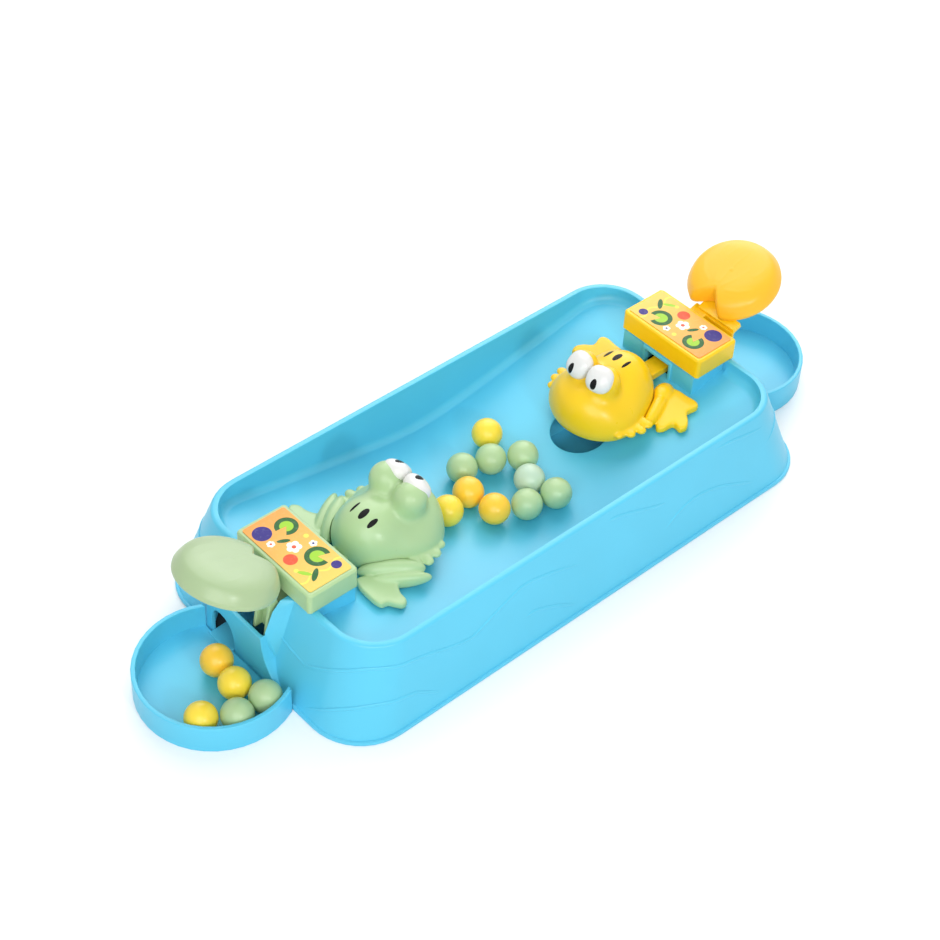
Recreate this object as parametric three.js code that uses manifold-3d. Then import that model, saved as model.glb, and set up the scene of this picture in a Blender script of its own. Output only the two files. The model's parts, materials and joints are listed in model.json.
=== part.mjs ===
// A table-top frog feeding game: a long blue tray with a valley floor, a round cup at each end, and
// two frogs on rocking levers. Pressing a lily pad lifts its frog, and letting go drops the frog on
// the beads, which fall through the floor and roll down a chute into that player's cup.
// Millimetres, +Z up, +X along the tray. Both ends are alike, turned half round about the Z axis.
import * as THREE from 'three';
import { mergeVertices } from 'three/addons/utils/BufferGeometryUtils.js';
import Module from 'manifold-3d';

const wasm = await Module();
wasm.setup();

// Clearances shared by all pieces
const GAP = 0.3;
const RUNNING_GAP = 0.35;
const OVERRUN = 2;
const TIDY = 0.03;
const SOFT_TIDY = 0.12;

// Tray: a tapered skirt, a rounded rim and a well whose floor is a shallow valley
const TRAY_HALF_LENGTH = 137.1;
const TRAY_HALF_WIDTH = 67.4;
const TRAY_CORNER = 25.3;
const TRAY_WALL = 2;
const LIP_HEIGHT = 2;
const LIP_REACH = 1.2;
const RIM_HALF_LENGTH = 121.6;
const RIM_HALF_WIDTH = 57.4;
const RIM_CORNER = 21.7;
const RIM_HEIGHT = 41.6;
const RIM_WIDTH = 3;
const RIM_ROUND = 1;
const LINER_WALL = 1.6;
const FLOOR_LOW = 15.4;
const FLOOR_BLEND = 3.9;
const FLOOR_SLOPE_share = 0.2;
const FLOOR_STEPS = 24;
const CORNER_STEPS = 5;
const RIB_COUNT = 2;
const RIB_PITCH = 16;
const RIB_DEPTH = 5;
const RIB_WALL = 1.6;

// Floor hole under each frog
const HOLE_CENTRE = 50;
const HOLE_RADIUS = 13;

// Pedestal that carries the lever, open at the top, with a framed doorway towards the frog
const PEDESTAL_LENGTH = 23.6;
const PEDESTAL_INNER = RIM_HALF_LENGTH - PEDESTAL_LENGTH;
const PEDESTAL_HALF_WIDTH = 22;
const DOOR_HALF_WIDTH = 7.2;
const DOOR_TOP = 39.4;
const DOOR_FRAME_WIDTH = 1.8;
const DOOR_FRAME_REACH = 0.9;
const SLOT_HALF_WIDTH = 8.8;
const SLOT_BOTTOM = 13;
const CHEEK_WALL = 2;
const CHEEK_TOP = 39.6;
const CHEEK_LENGTH = 12;

// Hood that bulges from the end skirt: it hides the lever slot and has the bead doorway
const HOOD_TOP = 25.5;
const HOOD_FOOT_NEAR = -28.3;
const HOOD_RIDGE_NEAR = -19;
const HOOD_RIDGE_FAR = 9.5;
const HOOD_FOOT_FAR = 25;
const HOOD_STEPS = 5;
const ARCH_NEAR = -23.9;
const ARCH_FAR = -9.2;
const ARCH_SPRING = 6;
const ARCH_TOP = 17.3;
const ARCH_PEAK_share = 0.4;
const FLANK_PROFILE = [[2.2, 25.4], [6.7, 36], [11.1, 40.4], [4.2, 12]];
const FLANK_SPREAD = 4.6;

// Lever pivot
const PIVOT_INSET = 9;
const PIVOT_OUT = PEDESTAL_INNER + PIVOT_INSET;
const PIVOT_HEIGHT = 36;
const AXLE_RADIUS = 1.5;
const AXLE_OVERHANG = 0.6;

// Cup with its chute
const CUP_OFFSET = 15.9;
const CUP_CENTRE = TRAY_HALF_LENGTH + CUP_OFFSET;
const CUP_RADIUS = 33.7;
const CUP_HEIGHT = 13.7;
const CUP_WALL = 2;
const CUP_FLOOR = 2;
const CUP_STEPS = 40;
const CHUTE_WALL = 1.6;
const CHUTE_HIGH_END = 10;
const CHUTE_LOW_END = 2.4;
const CHUTE_SIDE = 12;
const CHUTE_HALF_WIDTH = 14.6;
const CHUTE_START = 35;
const CHUTE_TAB_OUT = 55;
const CHUTE_TAB_REACH = 9;
const CHUTE_TAB_LENGTH = 10;
const CHUTE_TAB_THICK = 2;

// Screws and the bosses they turn into
const SCREW_RADIUS = 1.1;
const SCREW_LENGTH = 8;
const SCREW_HEAD_RADIUS = 2.6;
const SCREW_HEAD_HEIGHT = 1.6;
const SCREW_SIDES = 10;
const BOSS_RADIUS = 3.6;
const BOSS_SIDES = 16;
const COVER_SCREW_INSET = 14.5;
const COVER_SCREW_OUT = PEDESTAL_INNER + COVER_SCREW_INSET;
const COVER_SCREW_ACROSS = 15.4;
const TRAY_BOSS_BOTTOM = 29.5;

// Cover block over the pedestal, with its printed label plate
const COVER_OVERLAP = 0.1;
const COVER_LENGTH = 25.3;
const COVER_INNER = PEDESTAL_INNER - COVER_OVERLAP;
const COVER_OUTER = COVER_INNER + COVER_LENGTH;
const COVER_HALF_WIDTH = 23.9;
const COVER_TOP = 51.9;
const COVER_WALL = 1.8;
const COVER_CORNER = 2.2;
const COVER_ROUND = 1;
const LABEL_MARGIN = 1.9;
const LABEL_THICK = 0.4;
const LABEL_CORNER = 1.2;

// Lily pad
const PAD_OFFSET = 7.7;
const PAD_CENTRE_OUT = TRAY_HALF_LENGTH + PAD_OFFSET;
const PAD_CENTRE_HEIGHT = 60.8;
const PAD_TILT = THREE.MathUtils.degToRad(22);
const PAD_RADIUS = 21.6;
const PAD_HALF_RIM = 2;
const PAD_DOME = 6;
const PAD_WALL = 1.8;
const PAD_STEPS = 32;
const PAD_ROWS = 5;
const PAD_INSIDE_STEPS = 20;
const PAD_INSIDE_ROWS = 3;
const PAD_FLATTENING_share = 0.55;
const PAD_NOTCH_DEPTH = 8.4;
const PAD_NOTCH_HALF_WIDTH = 12.6;
const PAD_BOSS_OFFSET = 6;
const PAD_BOSS_RADIUS = 3.4;
const PAD_PIN_RADIUS = 1.6;
const PAD_PIN_HEIGHT = 4;

// Lever: hub, arm to the frog, and the stem that rises outside the end wall
const HUB_RADIUS = 4.2;
const HUB_HALF_WIDTH = 7.6;
const ARM_HALF_WIDTH = 4.5;
const ARM_THICK = 3.4;
const ARM_TOP = 35.6;
const ARM_END = 78;
const STEM_NEAR = -1;
const STEM_FAR = 7.5;
const STEM_WALL = 1.6;
const STEM_DEPTH = 5;
const STEM_FOOT_INSET = 4.1;
const STEM_FOOT_OUT = TRAY_HALF_LENGTH - STEM_FOOT_INSET;
const STEM_FOOT_HEIGHT = 22;
const STEM_KNEE_INSET = 4.6;
const STEM_KNEE_OUT = STEM_FOOT_OUT - STEM_KNEE_INSET;
const STEM_KNEE_HEIGHT = 40;
const GUSSET_NEAR = -17.5;
const WING_FAR = 4.5;
const GUSSET_BOTTOM = 46;
const BEAM_BOTTOM = 27.5;
const PLATE_THICK = 1.8;

// Frog: centres and radii of the swellings that blend into one shell
const FROG_MIDDLE = new THREE.Vector3(64, 0, 39);
const FROG_WALL = 1.8;
const FROG_BLEND = 5;
const FROG_RIM_FRONT = 27.8;
const FROG_RIM_REAR = 31.2;
const FROG_REACH = 60;
const FROG_SIDES = 32;
const FROG_ROWS = 22;
const FROG_INSIDE_SIDES = 16;
const FROG_INSIDE_ROWS = 10;
const FROG_BELLY = { out: 65.5, across: 0, up: 33.5, length: 22.3, width: 19.5, height: 14.5 };
const FROG_BACK = { out: 72.5, across: 0, up: 40, length: 14.3, width: 13.8, height: 12.8 };
const FROG_CHIN = { out: 57.2, across: 0, up: 33, length: 17, width: 22, height: 12.5 };
const FROG_HEAD = { out: 53.5, across: 0, up: 40.5, length: 12, width: 14, height: 9 };
const FROG_SWELLINGS = [FROG_BELLY, FROG_BACK, FROG_CHIN, FROG_HEAD];
const EYELID = { out: 57.4, across: 7.8, up: 53, length: 7.4, width: 7, height: 7.2 };
const EYE_RADIUS = 5.6;
const EYE_DEPTH_share = 0.68;
const EYE_SHIFT = new THREE.Vector3(-4.6, -1.9, 2.4);
const EYE_LOOK = new THREE.Vector3(-0.72, 0.2, 0.66);
const EYE_SIDES = 14;
const EYE_ROWS = 8;

// Frog's hands, moulded on the shell, and its hind legs, which are pieces of their own
const HAND_THICK = 3;
const HAND_HEIGHT = 31.8;
const FINGER_RADIUS = 2.2;
const FINGER_STEPS = 5;
const FINGER_TIPS = [[53.2, 20.8], [57.8, 23], [62.5, 24.2], [67, 23.4]];
const PALM = { from: 50, to: 70, inner: 12, outer: 20 };
const LEG_CLEARANCE = 0.8;
const FOOT_THICK = 3.2;
const TOE_RADIUS = 3.3;
const TOE_SPREAD = THREE.MathUtils.degToRad(25);
const TOE_TIPS = [[75.4, 27], [83.2, 31], [92, 27.6]];
const ANKLE = [92, 14.5];
const THIGH = { out: 75.6, across: 17.8, up: 31, length: 13.8, width: 5.8, height: 5.4 };
const SHANK = { out: 78.8, across: 21.4, up: 30.6, length: 14.2, width: 4.4, height: 4.2 };
const LEG_SWING = THREE.MathUtils.degToRad(-32);
const LOBE_SIDES = 12;
const LOBE_ROWS = 8;

// Beads
const BEAD_RADIUS = 7;
const BEAD_SIDES = 10;
const BEAD_ROWS = 7;
const BEAD_LIFT = 0.15;
const TRAY_BEADS = [
  ['yellow', 15.3, 23.6], ['green', -7.6, 14.6], ['green', 6.2, 11], ['green', 17.6, 2.6],
  ['amber', -16.1, 1.1], ['amber', -13.9, -13.4], ['pale', 10.4, -9.4], ['green', -0.6, -19.6],
  ['green', 13.3, -23.3], ['yellow', -32.2, -3.5],
];
const CUP_BEADS = [
  ['amber', -149.1, 4.4], ['yellow', -150.8, -9.8], ['yellow', -171.7, -15.6], ['green', -159.7, -23.4],
  ['green', -145.5, -23.1],
];

const COLOURS = {
  blue: 0x5fcdf3, yellow: 0xffd21c, green: 0xb5dd9b, pad_yellow: 0xffdc3c, pad_green: 0xcfeebb,
  label: 0xffd86a, white: 0xf7f7f2, steel: 0xb9bcc0, pale: 0xbfe3b4, amber: 0xfdb92a,
};

// Turns a closed geometry into a solid that can be joined and cut
function solidOf(geometry) {
  const bare = geometry.clone();
  bare.deleteAttribute('normal');
  bare.deleteAttribute('uv');
  const merged = mergeVertices(bare);
  return new wasm.Manifold(new wasm.Mesh({
    numProp: 3,
    vertProperties: new Float32Array(merged.attributes.position.array),
    triVerts: new Uint32Array(merged.index.array),
  }));
}

// Joins points that lie closer together than the tidying allows, and drops the faces that this flattens
function tidied(solid, limit = TIDY) {
  const { vertProperties, triVerts } = solid.simplify(limit).getMesh();
  const place = (i) => new THREE.Vector3().fromArray(vertProperties, i * 3);
  const joined = Array.from({ length: vertProperties.length / 3 }, (_, i) => i);
  const rootOf = (i) => (joined[i] === i ? i : rootOf(joined[i]));
  const faces = [];
  for (let i = 0; i < triVerts.length; i += 3) {
    const corners = [triVerts[i], triVerts[i + 1], triVerts[i + 2]];
    faces.push(corners);
    corners.forEach((corner, k) => {
      const next = corners[(k + 1) % 3];
      if (place(corner).distanceTo(place(next)) < limit) joined[rootOf(corner)] = rootOf(next);
    });
  }
  const kept = faces.map((corners) => corners.map(rootOf)).filter(([a, b, c]) => a !== b && b !== c && c !== a);
  return new wasm.Manifold(new wasm.Mesh({ numProp: 3, vertProperties, triVerts: new Uint32Array(kept.flat()) }));
}

function pieceOf(name, solid, colour, roughness = 0.35, metalness = 0) {
  const { vertProperties, triVerts } = tidied(solid).getMesh();
  const geometry = new THREE.BufferGeometry();
  geometry.setAttribute('position', new THREE.BufferAttribute(new Float32Array(vertProperties), 3));
  geometry.setIndex(new THREE.BufferAttribute(new Uint32Array(triVerts), 1));
  geometry.computeVertexNormals();
  const mesh = new THREE.Mesh(geometry, new THREE.MeshStandardMaterial({ color: colour, roughness, metalness }));
  mesh.name = name;
  return mesh;
}

// Skins rings of equally many points, and closes both ends with fans
function loft(rings) {
  const count = rings[0].length;
  const points = rings.flat();
  const middleOf = (ring) => ring.reduce((sum, p) => sum.add(p), new THREE.Vector3()).divideScalar(count);
  points.push(middleOf(rings[0]), middleOf(rings[rings.length - 1]));
  const bottom = points.length - 2;
  const top = points.length - 1;
  const last = (rings.length - 1) * count;
  const faces = [];
  for (let i = 0; i < count; i += 1) {
    const next = (i + 1) % count;
    for (let r = 0; r < last; r += count) {
      faces.push(r + i, r + next, r + count + next, r + i, r + count + next, r + count + i);
    }
    faces.push(bottom, next, i, top, last + i, last + next);
  }
  const geometry = new THREE.BufferGeometry().setFromPoints(points);
  geometry.setIndex(faces);
  return solidOf(geometry);
}

function roundedRectangle(halfLength, halfWidth, corner) {
  const shape = new THREE.Shape();
  const x = halfLength - corner;
  const y = halfWidth - corner;
  [[x, y], [-x, y], [-x, -y], [x, -y]].forEach(([cx, cy], quarter) => {
    shape.absarc(cx, cy, corner, quarter * Math.PI / 2, (quarter + 1) * Math.PI / 2);
  });
  return shape;
}

function ringAt(height, halfLength, halfWidth, corner) {
  const outline = roundedRectangle(halfLength, halfWidth, corner).getPoints(CORNER_STEPS);
  return outline.map((p) => new THREE.Vector3(p.x, p.y, height));
}

// Extrudes an outline upwards, across Y (outline in X and Z) or along X (outline in Y and Z)
function upright(shape, from, to, steps = CORNER_STEPS) {
  const geometry = new THREE.ExtrudeGeometry(shape, { depth: to - from, bevelEnabled: false, curveSegments: steps });
  return solidOf(geometry.translate(0, 0, from));
}

function across(shape, from, to, steps = CORNER_STEPS) {
  const geometry = new THREE.ExtrudeGeometry(shape, { depth: to - from, bevelEnabled: false, curveSegments: steps });
  const turn = new THREE.Matrix4().makeBasis(
    new THREE.Vector3(1, 0, 0), new THREE.Vector3(0, 0, 1), new THREE.Vector3(0, -1, 0));
  return solidOf(geometry.applyMatrix4(turn).translate(0, to, 0));
}

function along(shape, from, to, steps = CORNER_STEPS) {
  const geometry = new THREE.ExtrudeGeometry(shape, { depth: to - from, bevelEnabled: false, curveSegments: steps });
  const turn = new THREE.Matrix4().makeBasis(
    new THREE.Vector3(0, 1, 0), new THREE.Vector3(0, 0, 1), new THREE.Vector3(1, 0, 0));
  return solidOf(geometry.applyMatrix4(turn).translate(from, 0, 0));
}

function outlineOf(points) {
  return new THREE.Shape(points.map(([a, b]) => new THREE.Vector2(a, b)));
}

function block(fromX, toX, fromY, toY, fromZ, toZ) {
  const box = new THREE.BoxGeometry(toX - fromX, toY - fromY, toZ - fromZ);
  return solidOf(box.translate((fromX + toX) / 2, (fromY + toY) / 2, (fromZ + toZ) / 2));
}

function post(x, y, radius, fromZ, toZ, sides = BOSS_SIDES) {
  const round = new THREE.CylinderGeometry(radius, radius, toZ - fromZ, sides).rotateX(Math.PI / 2);
  return solidOf(round.translate(x, y, (fromZ + toZ) / 2));
}

function spindle(x, z, radius, fromY, toY, sides = BOSS_SIDES) {
  const round = new THREE.CylinderGeometry(radius, radius, toY - fromY, sides);
  return solidOf(round.translate(x, (fromY + toY) / 2, z));
}

// The same solid as seen from the other end of the tray
function otherEnd(solid) {
  return solid.rotate([0, 0, 180]);
}

// Height of the valley floor at a distance along the tray
function floorAt(x) {
  return FLOOR_LOW + Math.hypot(FLOOR_BLEND, FLOOR_SLOPE_share * x) - FLOOR_BLEND;
}

// Everything above the floor, lowered by a given depth
function aboveFloor(drop) {
  const reach = TRAY_HALF_LENGTH + OVERRUN;
  const points = [[reach, RIM_HEIGHT + OVERRUN], [-reach, RIM_HEIGHT + OVERRUN]];
  for (let i = 0; i <= FLOOR_STEPS; i += 1) {
    const x = reach * (2 * i / FLOOR_STEPS - 1);
    points.push([x, floorAt(x) - drop]);
  }
  return across(outlineOf(points), -TRAY_HALF_WIDTH, TRAY_HALF_WIDTH);
}

// Half length of the skirt at a height, which its walls and the lever follow
function skirtAt(height) {
  const foot = TRAY_HALF_LENGTH - LIP_REACH;
  return foot + (RIM_HALF_LENGTH - foot) * (height - LIP_HEIGHT) / (RIM_HEIGHT - LIP_HEIGHT);
}

function skirtRing(height, inset) {
  const share = (height - LIP_HEIGHT) / (RIM_HEIGHT - LIP_HEIGHT);
  const mix = (foot, rim) => foot - LIP_REACH + (rim - foot + LIP_REACH) * share - inset;
  return ringAt(height, mix(TRAY_HALF_LENGTH, RIM_HALF_LENGTH), mix(TRAY_HALF_WIDTH, RIM_HALF_WIDTH),
    mix(TRAY_CORNER, RIM_CORNER));
}

function trayOutside() {
  const round = RIM_ROUND / 3;
  return loft([
    ringAt(0, TRAY_HALF_LENGTH, TRAY_HALF_WIDTH, TRAY_CORNER),
    ringAt(LIP_HEIGHT, TRAY_HALF_LENGTH, TRAY_HALF_WIDTH, TRAY_CORNER),
    skirtRing(LIP_HEIGHT, 0),
    skirtRing(RIM_HEIGHT - RIM_ROUND, 0),
    skirtRing(RIM_HEIGHT - round, round),
    skirtRing(RIM_HEIGHT, RIM_ROUND),
  ]);
}

function well(wall, drop, top) {
  const shape = roundedRectangle(
    RIM_HALF_LENGTH - RIM_WIDTH + wall, RIM_HALF_WIDTH - RIM_WIDTH + wall, RIM_CORNER - RIM_WIDTH + wall);
  return upright(shape, 0, top).intersect(aboveFloor(drop));
}

function hoodOutline(wall) {
  const top = HOOD_TOP - wall;
  const shape = new THREE.Shape();
  shape.moveTo(HOOD_FOOT_NEAR + wall, -wall);
  shape.quadraticCurveTo(HOOD_FOOT_NEAR + wall, top, HOOD_RIDGE_NEAR + wall, top);
  shape.lineTo(HOOD_RIDGE_FAR - wall, top);
  shape.quadraticCurveTo(HOOD_RIDGE_FAR, HOOD_TOP / 3, HOOD_FOOT_FAR - wall, -wall);
  return shape;
}

// Flank beside the lever slot, from the hood's top corner up to the rim
function slotFlank() {
  const points = [];
  FLANK_PROFILE.forEach(([inset, up]) => {
    const out = TRAY_HALF_LENGTH - inset;
    const skin = skirtAt(up) - TRAY_WALL / 2;
    points.push([out, SLOT_HALF_WIDTH, up], [skin, SLOT_HALF_WIDTH, up], [skin, SLOT_HALF_WIDTH + FLANK_SPREAD, up]);
  });
  return wasm.Manifold.hull(points);
}

function archOutline() {
  const peak = ARCH_NEAR + (ARCH_FAR - ARCH_NEAR) * ARCH_PEAK_share;
  const shape = new THREE.Shape();
  shape.moveTo(ARCH_NEAR, -OVERRUN);
  shape.lineTo(ARCH_NEAR, ARCH_SPRING);
  shape.quadraticCurveTo(ARCH_NEAR, ARCH_TOP, peak, ARCH_TOP);
  shape.quadraticCurveTo(ARCH_FAR, ARCH_TOP, ARCH_FAR, ARCH_SPRING);
  shape.lineTo(ARCH_FAR, -OVERRUN);
  return shape;
}

// Walls that stand in the well at one end and carry the lever's axle
function pedestal() {
  const end = RIM_HALF_LENGTH - RIM_WIDTH - GAP;
  const inside = PEDESTAL_INNER + TRAY_WALL;
  const shell = block(PEDESTAL_INNER, end, -PEDESTAL_HALF_WIDTH, PEDESTAL_HALF_WIDTH, 0, RIM_HEIGHT)
    .subtract(block(inside, end + OVERRUN, TRAY_WALL - PEDESTAL_HALF_WIDTH, PEDESTAL_HALF_WIDTH - TRAY_WALL,
      -OVERRUN, RIM_HEIGHT + OVERRUN));
  const frameHalf = DOOR_HALF_WIDTH + DOOR_FRAME_WIDTH;
  const frame = block(PEDESTAL_INNER - DOOR_FRAME_REACH, inside, -frameHalf, frameHalf, 0, DOOR_TOP + DOOR_FRAME_WIDTH);
  const cheeks = [-1, 1].map((side) => {
    const face = side * (SLOT_HALF_WIDTH + CHEEK_WALL / 2);
    const slotHalf = AXLE_RADIUS + GAP;
    return block(PEDESTAL_INNER + TRAY_WALL / 2, PIVOT_OUT + CHEEK_LENGTH / 2,
      face - CHEEK_WALL / 2, face + CHEEK_WALL / 2, 0, CHEEK_TOP)
      .subtract(block(PIVOT_OUT - slotHalf, PIVOT_OUT + slotHalf, face - CHEEK_WALL, face + CHEEK_WALL,
        PIVOT_HEIGHT, CHEEK_TOP + OVERRUN))
      .subtract(spindle(PIVOT_OUT, PIVOT_HEIGHT, slotHalf, face - CHEEK_WALL, face + CHEEK_WALL));
  });
  const door = block(PEDESTAL_INNER - OVERRUN, inside + OVERRUN, -DOOR_HALF_WIDTH, DOOR_HALF_WIDTH, 0, DOOR_TOP);
  return wasm.Manifold.union([shell, frame, ...cheeks]).intersect(aboveFloor(-GAP)).subtract(door);
}

// Bosses under the floor: two for the cover's screws, two for the chute's
function trayBosses() {
  const bosses = [];
  for (const side of [-1, 1]) {
    bosses.push(post(COVER_SCREW_OUT, side * COVER_SCREW_ACROSS, BOSS_RADIUS, TRAY_BOSS_BOTTOM, RIM_HEIGHT));
    bosses.push(post(CHUTE_TAB_OUT, side * chuteTabAcross(), BOSS_RADIUS, chuteTabTop() + GAP, RIM_HEIGHT));
  }
  return wasm.Manifold.union(bosses).subtract(aboveFloor(TRAY_WALL / 2));
}

// Slot through which the lever passes from the pedestal to the hood's top
function leverSlot() {
  return block(PEDESTAL_INNER + TRAY_WALL, TRAY_HALF_LENGTH - TRAY_WALL, -SLOT_HALF_WIDTH, SLOT_HALF_WIDTH,
    SLOT_BOTTOM, RIM_HEIGHT + OVERRUN);
}

function floorCuts() {
  const cuts = [post(HOLE_CENTRE, 0, HOLE_RADIUS, 0, RIM_HEIGHT, CUP_STEPS * 0.7), leverSlot()];
  for (const side of [-1, 1]) {
    const clear = SCREW_RADIUS + RUNNING_GAP;
    cuts.push(post(COVER_SCREW_OUT, side * COVER_SCREW_ACROSS, clear, 0, RIM_HEIGHT, SCREW_SIDES));
    cuts.push(post(CHUTE_TAB_OUT, side * chuteTabAcross(), clear, 0,
      chuteTabTop() + SCREW_LENGTH, SCREW_SIDES));
  }
  return wasm.Manifold.union(cuts);
}

function floorRibs() {
  const half = RIM_HALF_WIDTH - RIM_WIDTH + LINER_WALL / 2;
  const ribs = [];
  for (let i = 0; i < RIB_COUNT; i += 1) {
    const x = (i + 1 / 2) * RIB_PITCH;
    const under = floorAt(x) - TRAY_WALL;
    ribs.push(block(x - RIB_WALL / 2, x + RIB_WALL / 2, -half, half, under - RIB_DEPTH, under + TRAY_WALL / 2));
  }
  return wasm.Manifold.union(ribs);
}

// What lies on this end's side of the seam across the middle of the tray
function thisHalf() {
  return block(GAP / 2, TRAY_HALF_LENGTH + OVERRUN, -TRAY_HALF_WIDTH - OVERRUN, TRAY_HALF_WIDTH + OVERRUN,
    -OVERRUN, RIM_HEIGHT + OVERRUN);
}

// Half of the outer moulding: sloping skirt, lip, rounded rim, and the hood with its doorway
function skirt() {
  const underRim = RIM_HEIGHT - TRAY_WALL;
  const hood = along(hoodOutline(0), RIM_HALF_LENGTH - RIM_WIDTH, TRAY_HALF_LENGTH, HOOD_STEPS)
    .add(slotFlank())
    .intersect(block(0, TRAY_HALF_LENGTH, -TRAY_HALF_WIDTH, TRAY_HALF_WIDTH, 0, RIM_HEIGHT));
  const hollow = wasm.Manifold.union([
    loft([skirtRing(-OVERRUN, TRAY_WALL), skirtRing(underRim, TRAY_WALL)]),
    along(hoodOutline(TRAY_WALL), RIM_HALF_LENGTH - RIM_WIDTH, TRAY_HALF_LENGTH - TRAY_WALL, HOOD_STEPS),
    well(LINER_WALL + GAP, RIM_HEIGHT, underRim),
    well(0, 0, RIM_HEIGHT + OVERRUN),
    leverSlot(),
    along(archOutline(), TRAY_HALF_LENGTH - TRAY_WALL - OVERRUN, TRAY_HALF_LENGTH + OVERRUN),
  ]);
  return trayOutside().add(hood).subtract(hollow).intersect(thisHalf());
}

// Half of the valley floor with the wall round it, which stands up under the rim
function floorPan() {
  const pan = well(LINER_WALL, TRAY_WALL, RIM_HEIGHT - TRAY_WALL - GAP).subtract(well(0, 0, RIM_HEIGHT));
  return wasm.Manifold.union([pan, trayBosses(), floorRibs()]).subtract(floorCuts()).intersect(thisHalf());
}

// Height of the chute's running surface at a distance along the tray
function rampAt(x) {
  const end = TRAY_HALF_LENGTH + GAP;
  return CHUTE_LOW_END + (CHUTE_HIGH_END - CHUTE_LOW_END) * (end - x) / (end - CHUTE_START);
}

function chuteTabAcross() {
  return CHUTE_HALF_WIDTH + CHUTE_WALL + CHUTE_TAB_REACH / 2;
}

function chuteTabTop() {
  return rampAt(CHUTE_TAB_OUT + CHUTE_TAB_LENGTH / 2);
}

// Plan of the channel: wide under the floor hole, narrowing towards the doorway
function channelPlan(wall, start) {
  const turn = HOLE_CENTRE + HOLE_RADIUS;
  const straight = TRAY_HALF_LENGTH - STEM_DEPTH * 5;
  const end = skirtAt(CHUTE_SIDE) - TRAY_WALL * 2;
  return outlineOf([
    [start, -CHUTE_HALF_WIDTH - wall], [turn, -CHUTE_HALF_WIDTH - wall], [straight, ARCH_NEAR - wall],
    [end, ARCH_NEAR - wall], [end, ARCH_FAR + wall], [straight, ARCH_FAR + wall],
    [turn, CHUTE_HALF_WIDTH + wall], [start, CHUTE_HALF_WIDTH + wall],
  ]);
}

function rampSolid(lift, depth) {
  const end = TRAY_HALF_LENGTH + GAP + OVERRUN;
  const start = CHUTE_START - CHUTE_WALL - OVERRUN;
  return across(outlineOf([
    [start, rampAt(start) + lift - depth], [end, rampAt(end) + lift - depth],
    [end, rampAt(end) + lift], [start, rampAt(start) + lift],
  ]), -TRAY_HALF_WIDTH, TRAY_HALF_WIDTH);
}

function chute() {
  const trough = upright(channelPlan(CHUTE_WALL, CHUTE_START - CHUTE_WALL), 0, RIM_HEIGHT)
    .intersect(rampSolid(CHUTE_SIDE, CHUTE_SIDE + CHUTE_WALL));
  const bore = upright(channelPlan(0, CHUTE_START), -OVERRUN, RIM_HEIGHT)
    .add(block(skirtAt(CHUTE_SIDE) - TRAY_WALL * 3, TRAY_HALF_LENGTH, ARCH_NEAR, ARCH_FAR, 0, RIM_HEIGHT))
    .intersect(rampSolid(RIM_HEIGHT, RIM_HEIGHT));
  const strip = block(skirtAt(CHUTE_SIDE) - TRAY_WALL * 3, TRAY_HALF_LENGTH + GAP + CUP_WALL,
    ARCH_NEAR + GAP, ARCH_FAR - GAP, 0, RIM_HEIGHT)
    .intersect(rampSolid(0, CUP_FLOOR));
  const tabs = [-1, 1].map((side) => {
    const from = Math.min(side * CHUTE_HALF_WIDTH, side * (CHUTE_HALF_WIDTH + CHUTE_WALL + CHUTE_TAB_REACH));
    const to = Math.max(side * CHUTE_HALF_WIDTH, side * (CHUTE_HALF_WIDTH + CHUTE_WALL + CHUTE_TAB_REACH));
    return block(CHUTE_TAB_OUT - CHUTE_TAB_LENGTH / 2, CHUTE_TAB_OUT + CHUTE_TAB_LENGTH / 2, from, to,
      chuteTabTop() - CHUTE_TAB_THICK, chuteTabTop());
  });
  const holes = [-1, 1].map((side) => post(CHUTE_TAB_OUT, side * chuteTabAcross(), SCREW_RADIUS + RUNNING_GAP,
    0, chuteTabTop() + OVERRUN, SCREW_SIDES));
  return wasm.Manifold.union([trough.add(wasm.Manifold.union(tabs)).subtract(bore), strip])
    .subtract(wasm.Manifold.union(holes))
    .subtract(aboveFloor(TRAY_WALL + GAP));
}

function beanCup() {
  const face = TRAY_HALF_LENGTH + GAP;
  const reach = CUP_CENTRE + CUP_RADIUS + OVERRUN;
  const keep = block(face, reach, -CUP_RADIUS - OVERRUN, CUP_RADIUS + OVERRUN, 0, CUP_HEIGHT);
  const bowl = post(CUP_CENTRE, 0, CUP_RADIUS, 0, CUP_HEIGHT, CUP_STEPS)
    .subtract(post(CUP_CENTRE, 0, CUP_RADIUS - CUP_WALL, CUP_FLOOR, CUP_HEIGHT + OVERRUN, CUP_STEPS))
    .intersect(keep);
  return bowl.add(chute());
}

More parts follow.
